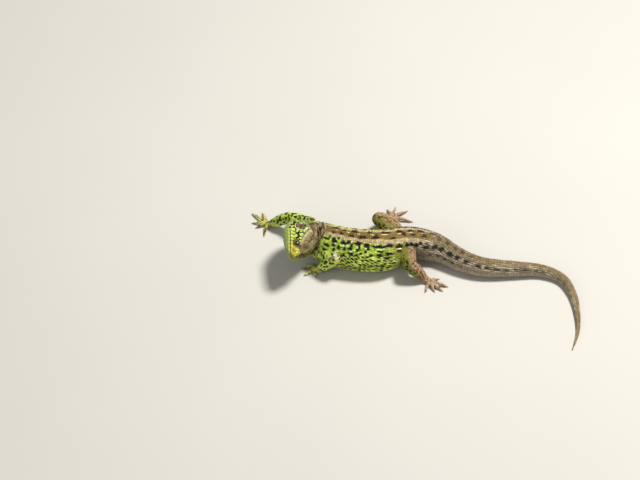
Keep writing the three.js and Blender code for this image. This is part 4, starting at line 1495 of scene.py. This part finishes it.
def lip_row(direction):
    """Quadrilaterals side by side along the mouth's slit, up (1) or down (-1), leaning back a little."""
    edges = LIP_START + (LIP_END - LIP_START) * np.linspace(0, 1, LIP_COUNT + 1) ** 0.92
    for a, b in zip(edges[:-1], edges[1:]):
        near = direction * LIP_GAP
        far = near + direction * np.interp(a, [0, 4], [0.75, LIP_HEIGHT])
        corners = [(a, near), (b, near), (b + LIP_LEAN, far), (a + LIP_LEAN, far)]
        yield shield([(x, mouth_above(x) + y) for x, y in corners], height=0.17)


LIPS = [(sign, plate) for sign in (1, -1) for direction in (1, -1) for plate in lip_row(direction)]
print("lip shields", len(LIPS))

# %% Cheek scales
def crown_edge(behind):
    """Where the crown's shields end, as a distance from the midline."""
    return np.interp(behind, [0, 1, 2, 3, 4.4, 5.2, 6.6, 8.6, 9.9, 13.4, 17.1, 18.6, 20],
                     [0.6, 1.3, 1.8, 2.1, 2.4, 2.6, 3.1, 3.35, 3.6, 4.3, 4.1, 2.4, 0.0])


def clear_of_features(behind, left, above):
    """True for a cheek scale that keeps off the shields, lips, eyes, ears and nostrils."""
    side = np.abs(left)
    slit = above - mouth_above(behind)
    lips = (behind < LIP_END + 0.2) & (np.abs(slit) < LIP_HEIGHT + 0.25)
    crown = (above > 0) & (side < crown_edge(behind) + 0.15)
    eye = oval(behind, above - 0.1, EYE_SPOT, LID_HALF_LENGTH, LID_HALF_HEIGHT) < 1.15
    ear = (oval(behind, above, EAR_SPOT, EAR_LENGTH / 2, EAR_WIDTH / 2) < 1.2) & (side > EAR_SIDE)
    nostril = oval(behind, above, NOSTRIL_SPOT) < 0.6
    return ~(lips | crown | eye | ear | nostril)


JAW_SHARE = 0.72
# the rows' start, end, step and width, the scales' length, width and height, and whether on the jaw
HEAD_ROWS = (
    (2.6, 7.2, 0.62, 0.62, 0.72, 0.66, 0.13, False),
    (7.2, 11.2, 0.5, 0.5, 0.58, 0.52, 0.11, False),
    (11.2, 18.9, 0.82, 0.84, 0.95, 0.88, 0.17, False),
    (1.2, 13.4, 1.25, 1.3, 1.45, 1.36, 0.15, True),
)
for start, end, step, pitch, length, width, rise, jaw in HEAD_ROWS:
    d, q = rows_of(start, end, step, even_columns(pitch, 8))
    keep = (np.abs(q) > JAW_SHARE) if jaw else (np.abs(q) > 0) & (np.abs(q) < JAW_SHARE)
    d, q = d[keep], q[keep]
    keep = clear_of_features(*head_place(skin_point(d + step / 2, q)))
    lay_on_body("cheek_scales", d[keep], q[keep], length, width, rise, PLATE if jaw else BEAD)
print("cheek scales", laid("cheek_scales"))

# %% [markdown]
# ## Limbs
# Scales on a leg point towards the toes. Those on the outside are broad and lie flat, those on the toes are
# narrow bands. A scale is left out where its place is inside the trunk or another length of the same limb.

# %% Scales on the legs and toes
LIMB_SCALE, LIMB_STEP = 1.0, 0.86
DIGIT_BANDS, DIGIT_STEP = 7, 0.66
# strips of the unwrap: three for the lengths of a limb, then five for its digits
UNWRAP_EDGE, LENGTH_STRIP, DIGITS_FROM, DIGIT_STRIP = 0.02, 0.22, 0.7, 0.055


def limb_paint(name, part, axis):
    """A colour function for one length of a limb or one digit."""
    def painted(along, share, points):
        t = np.full(along.shape, 3.0)
        if isinstance(axis, Pod):
            t = part + np.clip(np.interp(along, axis.s, axis.x) / axis.length, 0, 1)
        turn = (np.pi * share)[..., None]
        return limb_colour(name, t, points, np.cos(turn) * axis.up + np.sin(turn) * axis.side)
    return painted


def outside_others(points, name, part):
    """True where a point is not inside the body or another pod of the limb."""
    d, _, depth = body_place(points)
    clear = (depth - 1) * np.minimum(*section(d)[:2]) > -0.45
    for k, pod in enumerate(PARTS[name][0]):
        if k != part:
            clear &= pod.depth(points) > (-0.15 if part < 3 else 0.0)
    return clear


for name in LIMBS:
    pods, digits = PARTS[name]
    for part, pod in enumerate(pods):
        columns = 2 * round(np.pi * pod.radii.max() / LIMB_SCALE)
        step = LIMB_STEP * (0.8 if part == 2 else 1)
        d, share = rows_of(0.3, pod.reach - 0.5, step, columns)
        roomy = pod.half_girth(d) > 0.35 * pod.half_girth(pod.reach / 2)
        keep = roomy & outside_others(pod.point(d + step / 2, share), name, part)
        d, share = d[keep], share[keep]
        width = 2 * pod.half_girth(d + step / 2) / columns * 1.05
        strip = LENGTH_STRIP * part
        island = (UNWRAP_EDGE + strip, UNWRAP_EDGE, LENGTH_STRIP + strip, 1 - UNWRAP_EDGE, pod.reach)
        lay(name + "_scales", pod.point, pod.half_girth, d, share, step * 1.2, width,
            0.2 if part < 2 else 0.14, FLANK, limb_paint(name, part, pod), island)
    for n, digit in enumerate(digits):
        d, share = rows_of(0.2, digit.reach - 0.1, DIGIT_STEP, DIGIT_BANDS, stagger=False)
        keep = outside_others(digit.point(d, share), name, 3)
        d, share = d[keep], share[keep]
        width = 2 * digit.half_girth(d + 0.3) / DIGIT_BANDS * 1.02
        strip = DIGIT_STRIP * n
        island = (DIGITS_FROM + strip, UNWRAP_EDGE, DIGITS_FROM + 0.05 + strip, 1 - UNWRAP_EDGE, digit.reach)
        lay(name + "_scales", digit.point, digit.half_girth, d, share, 0.76, width, 0.075, PLATE,
            limb_paint(name, 3, digit), island)
print("scales on limbs", {name: laid(name + "_scales") for name in LIMBS})


# %% [markdown]
# ## Putting the scales down
# Each batch's points go into one throwaway mesh, so that the two shrinkwraps run once for the batch. A scale
# that would have to move far or stretch to reach the skin stood over a hollow or inside a joint, and is left
# out.

# %% Shrinkwrap
LIFT = 0.2
wrap_target = new_object("wrap_target", skin_mesh.copy())


def wrapped(points):
    """The nearest point of the skin to each point, and the smooth direction out of it."""
    cloud = bpy.data.meshes.new("cloud")
    cloud.vertices.add(len(points))
    cloud.vertices.foreach_set("co", points.astype(np.float32).ravel())
    holder = new_object("cloud", cloud)
    found = []
    for mode, offset in (("ON_SURFACE", 0.0), ("ABOVE_SURFACE", LIFT)):
        holder.modifiers.clear()
        shrink = holder.modifiers.new("shrink", "SHRINKWRAP")
        shrink.target, shrink.wrap_mode, shrink.offset = wrap_target, mode, offset
        shrink.wrap_method = "NEAREST_SURFACEPOINT"
        shown = holder.evaluated_get(bpy.context.evaluated_depsgraph_get())
        found.append(get_points(shown.to_mesh()))
        shown.to_mesh_clear()
    bpy.data.objects.remove(holder)
    return found[0], unit(found[1] - found[0])


# %% Moving the scales on to the skin
# how far a scale may move, its smallest and largest stretch, and how steady its upward direction is
FARTHEST, SMALLEST, LARGEST, STEADIEST = 0.75, 0.55, 2.6, 0.1
POINTS_ON_SCALE, ROOT_MIDDLE, TIP_MIDDLE, BACK_MIDDLE = 20, 2, 17, 7


def settle(piece):
    """Moves a piece's scales on to the skin, drops the bad ones, and returns points, faces, colours, map."""
    points, faces, tones, places, count, dropped = [], [], [], [], 0, 0
    for base, rise, tone, patch, rim, length in BATCHES[piece]:
        on_skin, out = wrapped(base.reshape(-1, 3))
        on_skin, out = on_skin.reshape(base.shape), out.reshape(base.shape)
        moved = np.linalg.norm(on_skin - base, axis=-1).max(1)
        stretch = np.linalg.norm(on_skin[:, TIP_MIDDLE] - on_skin[:, ROOT_MIDDLE], axis=-1) / length
        steady = (out * out[:, BACK_MIDDLE, None]).sum(-1).min(1)
        keep = (moved < FARTHEST) & (stretch > SMALLEST) & (stretch < LARGEST) & (steady > STEADIEST)
        dropped += int((~keep).sum())
        n = int(keep.sum())
        placed = on_skin[keep] + out[keep] * rise[keep][..., None]
        start = (np.arange(n) * POINTS_ON_SCALE)[:, None, None] + count
        corner = np.array([r * 5 + c for r in range(3) for c in range(4)])
        quads = start + np.stack([corner, corner + 1, corner + 6, corner + 5], 1)[None]
        under = start[:, 0] + rim[None]
        points.append(placed.reshape(-1, 3))
        faces.append((quads.reshape(-1, 4), under))
        tones.append(tone[keep].reshape(-1, 3))
        places.append(patch[keep].reshape(-1, 2))
        count += n * POINTS_ON_SCALE
    print(piece, count // POINTS_ON_SCALE, "scales,", dropped, "left out")
    return np.vstack(points), [np.vstack(group) for group in zip(*faces)], np.vstack(tones), np.vstack(places)


# %% The coats
def facing_out(points, faces):
    """The faces, turned over if the closed surfaces they make have a negative volume."""
    volume = 0.0
    for group in faces:
        for k in range(1, group.shape[1] - 1):
            a, b, c = points[group[:, 0]], points[group[:, k]], points[group[:, k + 1]]
            volume += (a * np.cross(b, c)).sum()
    return faces if volume > 0 else [g[:, ::-1] for g in faces]


def coat(piece, points, faces, tones, places):
    """The finished object: mesh, colours and the unwrap map."""
    points[:, 2] = np.maximum(points[:, 2], 0)
    middle = points.mean(0)
    mesh = new_mesh(piece, points, facing_out(points - middle, faces))
    paint(mesh, tones)
    corners = read(mesh.loops, "vertex_index", 1, np.int32)[:, 0]
    layer = mesh.uv_layers.new(name="OFBake")
    layer.data.foreach_set("uv", places[corners].astype(np.float32).ravel())
    return new_object(piece, mesh)


COATS = {piece: coat(piece, *settle(piece)) for piece in BATCHES}

# %% The shields
SHIELD_MEAN, SHIELD_RIM = 0.6, 0.45
# where the shields lie on the unwrap: the head's middle, and the shift for each millimetre
UNWRAP_HEAD, UNWRAP_PER_MM = np.array([0.05, 0.5]), (0.045, 0.055)


def settle_shields(piece, plates, placed):
    """Shields of different sizes, settled together: placed has the points of each flat outline."""
    on_skin, out = wrapped(np.vstack(placed))
    rise = np.concatenate([p[1] for p in plates])
    points = on_skin + out * rise[:, None]
    behind, left, above = head_place(on_skin)
    tones = head_colour(behind, left, above)
    starts = np.r_[0, np.cumsum([len(p) for p in placed])]
    edge = rise < 0
    own = np.concatenate([np.tile(tones[a:b].mean(0), (b - a, 1)) for a, b in zip(starts[:-1], starts[1:])])
    tones = (SHIELD_MEAN * own + (1 - SHIELD_MEAN) * tones) * np.where(edge, SHIELD_RIM, 1.0)[:, None]
    quads, fans, unders = [], [], {}
    places = np.empty((len(points), 2))
    for item, start, end in zip(plates, starts[:-1], starts[1:]):
        q, f, u = item[2]
        quads.append(q + start)
        fans.append(f + start)
        unders.setdefault(u.shape[1], []).append(u + start)
        middle = np.array([behind[start:end].mean(), left[start:end].mean()])
        around = item[0] - item[0].mean(0)
        spot = UNWRAP_HEAD + middle * UNWRAP_PER_MM
        places[start:end] = spot + around / np.abs(around).max() * (PATCH_SIZE / 2)
    groups = [np.vstack(quads), np.vstack(fans)] + [np.vstack(u) for u in unders.values()]
    return coat(piece, points, groups, tones, places)


crown_placed = [crown_point(*plate[0].T) for plate in SHIELDS]
COATS["crown_shields"] = settle_shields("crown_shields", SHIELDS, crown_placed)
lip_placed = [cheek_point(*plate[0].T, sign) for sign, plate in LIPS]
COATS["lip_shields"] = settle_shields("lip_shields", [plate for _, plate in LIPS], lip_placed)
bpy.data.objects.remove(wrap_target)
print({name: len(obj.data.polygons) for name, obj in COATS.items()})

# %% [markdown]
# ## Eyes, eardrums and claws
# The eye is a ball with a slightly steeper cornea, a round pupil, a thin gold ring and a brown iris. The
# drum is a thin oval skin sunk behind the jaw. A claw is a curved cone, flat from side to side.


# %% Eyeballs
BALL_RINGS, SPOKES_PER_RADIAN = 48, 12


def full_turn(count):
    """Evenly placed angles all the way round, as one row."""
    return np.linspace(0, 2 * np.pi, count, endpoint=False)[None, :]


def eyeball(name, sign):
    """A sphere in rings about its axis; the front is drawn out by 4% in a bell curve. Its colour depends on
    the angle from the axis alone, with fine spokes."""
    middle, out, back, lift = eye_axes(sign)
    angle = np.linspace(0.02, np.pi - 0.02, BALL_RINGS)[:, None]
    turn = full_turn(BALL_RINGS)
    r = (EYE_RADIUS - 0.02) * (1 + 0.035 * bell(angle / 0.5))
    ring = np.cos(turn)[..., None] * back + np.sin(turn)[..., None] * lift
    rings = middle + r[..., None] * (np.cos(angle)[..., None] * out + np.sin(angle)[..., None] * ring)
    points, faces = tube(rings)
    spokes = 0.85 + 0.3 * hashed_pair(np.round(turn * SPOKES_PER_RADIAN), angle * 0, 9)
    wide = angle + 0 * turn
    tone = mixed(INK.pupil, INK.gold, smoothstep(0.31, 0.34, wide))
    tone = mixed(tone, INK.iris * spokes[..., None], smoothstep(0.36, 0.46, wide))
    tone = mixed(tone, INK.pupil * 2, smoothstep(0.66, 0.8, wide)).reshape(-1, 3)
    made = new_object(name, new_mesh(name, points, faces))
    paint(made.data, np.vstack([tone, tone[:1], tone[-1:]]), "Iris")
    return made


EYES = {name: eyeball("ball_" + name, sign) for name, sign in (("eye_left", 1), ("eye_right", -1))}


# %% Eardrums
def eardrum(name, sign):
    """A thin oval dish: two faces 0.3 mm apart, the outer one sunk 0.12 mm in the middle."""
    r = np.r_[0.02, 0.35, 0.7, 0.95, 1.0, 1.0, 0.95, 0.6, 0.02][:, None]
    aside = EARDRUM_ASIDE + np.r_[-0.12, -0.1, -0.04, 0, -0.06, -0.3, -0.36, -0.36, -0.36][:, None]
    turn = full_turn(40)
    behind = EAR_BEHIND + r * np.cos(turn) * (EAR_LENGTH / 2 + 0.1)
    above = EAR_ABOVE + r * np.sin(turn) * (EAR_WIDTH / 2 + 0.1)
    return new_object(name, new_mesh(name, *tube(head_point(behind, sign * (aside + 0 * turn), above))))


DRUMS = {name: eardrum("drum_" + name, sign) for name, sign in (("ear_left", 1), ("ear_right", -1))}


# %% Claws
CLAW_TIP_HEIGHT, CLAW_RADIUS, CLAW_FLATNESS = 0.12, 0.36, 0.7


def claw(digit):
    """A cone whose axis curls down by a quarter circle's share, flattened from side to side."""
    t = np.linspace(0, 1, 10)[:, None]
    turn = full_turn(10)[..., None]
    start = digit.reach + 0.1
    axis = digit.root + (start + CLAW_LENGTH * 0.92 * t)[..., None] * digit.ahead
    axis[..., 2] = CLAW_TIP_HEIGHT + digit.height(start) * np.cos(t * np.pi / 2) ** 0.8
    r = (CLAW_RADIUS * (1 - t) ** 0.7 + 0.03)[..., None]
    return tube(axis + r * (np.cos(turn) * digit.up + CLAW_FLATNESS * np.sin(turn) * digit.side))


CLAWS = {}
for name in LIMBS:
    claw_points, claw_faces = joined([claw(digit) for digit in PARTS[name][1]])
    claw_points[:, 2] = np.maximum(claw_points[:, 2], 0)
    CLAWS[name] = new_object(name + "_claws", new_mesh(name + "_claws", claw_points, claw_faces))
print("eyes", len(EYES), "drums", len(DRUMS), "claws", sum(len(digits) for _, digits in PARTS.values()))


# %% [markdown]
# ## Finishes
# Reptile scales are satin: a broad soft highlight with finer sparkle where growth lines catch the light. The
# colour comes from the painted attribute, and noise in the object's own coordinates varies it and the
# roughness, and raises fine growth lines. The skin between the scales is duller and grainy.


# %% Node helpers
class Finish:
    """A material being made: its methods add nodes and give an output, or fill a socket of the shader."""

    def __init__(self, name):
        self.material = bpy.data.materials.new(name)
        self.material.use_nodes = True
        tree = self.material.node_tree
        self.link, self.nodes, self.shader = tree.links.new, tree.nodes, tree.nodes["Principled BSDF"]

    def node(self, kind, **values):
        """A new node with values on its sockets; an underscore stands for a space in a socket's name."""
        made = self.nodes.new("ShaderNode" + kind)
        for socket, value in values.items():
            made.inputs[socket.replace("_", " ")].default_value = value
        return made

    def pattern(self, scale, kind="TexNoise", output="Fac", **values):
        """A texture in object coordinates; scale is in waves per metre."""
        texture = self.node(kind, Scale=scale, **values)
        self.link(self.node("TexCoord").outputs["Object"], texture.inputs["Vector"])
        return texture.outputs[output]

    def ranged(self, value, low, high, start=0.0, stop=1.0):
        """A value from start to stop carried to low to high."""
        node = self.node("MapRange", From_Min=start, From_Max=stop, To_Min=low, To_Max=high)
        self.link(value, node.inputs["Value"])
        return node.outputs["Result"]

    def rough(self, low, high, scale):
        """Roughness that noise moves between two values."""
        self.link(self.ranged(self.pattern(scale, Detail=3.0), low, high), self.shader.inputs["Roughness"])

    def bump(self, height, metres):
        """Raises the shading by a height pattern."""
        node = self.node("Bump", Distance=metres)
        self.link(height, node.inputs["Height"])
        self.link(node.outputs["Normal"], self.shader.inputs["Normal"])

    def painted(self, attribute, low, high, scale):
        """The attribute's colour, darkened and lightened by noise."""
        colour, grey, mix = self.node("VertexColor"), self.node("CombineColor"), self.node("Mix", Factor=1.0)
        colour.layer_name = attribute
        mix.data_type, mix.blend_type = "RGBA", "MULTIPLY"
        shade = self.ranged(self.pattern(scale, Detail=3.0), low, high, 0.3, 0.7)
        for channel in ("Red", "Green", "Blue"):
            self.link(shade, grey.inputs[channel])
        self.link(colour.outputs["Color"], mix.inputs["A"])
        self.link(grey.outputs["Color"], mix.inputs["B"])
        self.link(mix.outputs["Result"], self.shader.inputs["Base Color"])


# %% Scale and skin materials
SCALE_SPECULAR = 0.16


def scale_finish(name, rough_low, rough_high, bump_metres, lines=5200, mottle=(0.75, 1.2, 2400)):
    """Painted colour with mottling (dark, light, waves per metre), satin roughness, fine growth lines."""
    finish = Finish(name)
    finish.painted("Markings", *mottle)
    finish.rough(rough_low, rough_high, 1500)
    finish.bump(finish.pattern(lines, Detail=4.0), bump_metres)
    finish.shader.inputs["Specular IOR Level"].default_value = SCALE_SPECULAR
    return finish.material


SCALE_FINISH = scale_finish("satin_scales", 0.38, 0.62, 0.00006)
BACK_FINISH = scale_finish("keeled_scales", 0.42, 0.66, 0.00008)
CROWN_FINISH = scale_finish("crown_shields", 0.4, 0.6, 0.00012, 2600, (0.18, 1.7, 1700))
LIP_FINISH = scale_finish("lip_shields", 0.34, 0.56, 0.00005)
LIMB_FINISH = scale_finish("limb_scales", 0.4, 0.62, 0.00005)


def skin_finish():
    """Grainy skin: cells 0.4 mm across for the granules and noise for the tone."""
    finish = Finish("grainy_skin")
    finish.painted("Markings", 0.7, 1.15, 1800)
    grains = finish.pattern(2600, "TexVoronoi", "Distance")
    finish.bump(finish.ranged(grains, 1, 0), 0.00012)
    finish.rough(0.5, 0.75, 900)
    return finish.material


SKIN_FINISH = skin_finish()


# %% Eye, drum and claw materials
def eye_finish():
    """A wet ball: painted iris with fine fibres under a clear coat."""
    finish = Finish("wet_eye")
    finish.painted("Iris", 0.7, 1.3, 4200)
    finish.rough(0.05, 0.12, 700)
    for socket, value in (("Specular IOR Level", 0.3), ("Coat Weight", 0.4), ("Coat Roughness", 0.03)):
        finish.shader.inputs[socket].default_value = value
    return finish.material


def plain_finish(name, low, high, scale, roughness, bump_metres):
    """Two colours mixed by noise, with a fine bump."""
    finish = Finish(name)
    mix = finish.node("Mix")
    mix.data_type = "RGBA"
    mix.inputs["A"].default_value, mix.inputs["B"].default_value = (*low, 1), (*high, 1)
    finish.link(finish.pattern(scale, Detail=3.0), mix.inputs["Factor"])
    finish.link(mix.outputs["Result"], finish.shader.inputs["Base Color"])
    finish.rough(*roughness, scale * 2)
    finish.bump(finish.pattern(scale * 3, Detail=3.0), bump_metres)
    return finish.material


EYE_FINISH = eye_finish()
DRUM_FINISH = plain_finish(
    "drum_membrane", (0.05, 0.026, 0.014), (0.12, 0.07, 0.035), 1400, (0.3, 0.5), 0.00004
)
CLAW_FINISH = plain_finish("claw_horn", (0.10, 0.06, 0.03), (0.30, 0.21, 0.12), 1800, (0.25, 0.45), 0.00003)
FLOOR_FINISH = plain_finish(
    "floor_paper", (0.49, 0.485, 0.475), (0.53, 0.525, 0.515), 9, (0.85, 0.95), 0.0001
)
floor_mesh.materials.append(FLOOR_FINISH)


# %% [markdown]
# ## Finishing
# The skin was worked on in millimetres, so it is brought to metres now. Each piece rides on the model's one
# body. Every part read from the model is hidden, so the skin shows where the flesh was and each eyeball and
# drum where its own solid was.

# %% Pieces on the body
set_points(skin_mesh, get_points(skin_mesh) * MM)
skin_mesh.shade_smooth()

COAT_FINISHES = {
    "trunk_scales": (BACK_FINISH, "back_scales"),
    "belly_plates": (SCALE_FINISH, "back_scales"),
    "neck_scales": (SCALE_FINISH, "cheek_scales"),
    "tail_scales": (BACK_FINISH, "tail_scales"),
    "cheek_scales": (SCALE_FINISH, "cheek_scales"),
    "lip_shields": (LIP_FINISH, "cheek_scales"),
    "crown_shields": (CROWN_FINISH, "crown_scales"),
}
PIECES = [(skin, SKIN_FINISH, "back_scales")]
PIECES += [(COATS[name], finish, slot) for name, (finish, slot) in COAT_FINISHES.items()]
for name in LIMBS:
    slot = "limb_scales" if name.startswith("arm") else "thigh_scales"
    PIECES += [(COATS[name + "_scales"], LIMB_FINISH, slot), (CLAWS[name], CLAW_FINISH, slot)]
PIECES += [(ball, EYE_FINISH, "eye") for ball in EYES.values()]
PIECES += [(drum, DRUM_FINISH, "eardrum") for drum in DRUMS.values()]
for piece, finish, slot in PIECES:
    piece.data.materials.clear()
    piece.data.materials.append(finish)
    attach(piece, "root")

separate = set(EYES) | set(DRUMS)
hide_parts(*[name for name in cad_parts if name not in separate])
for name, made in {**EYES, **DRUMS}.items():
    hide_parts(name)
total = sum(len(p.vertices) - 2 for piece, _, _ in PIECES for p in piece.data.polygons)
print("pieces", len(PIECES), "triangles", total)
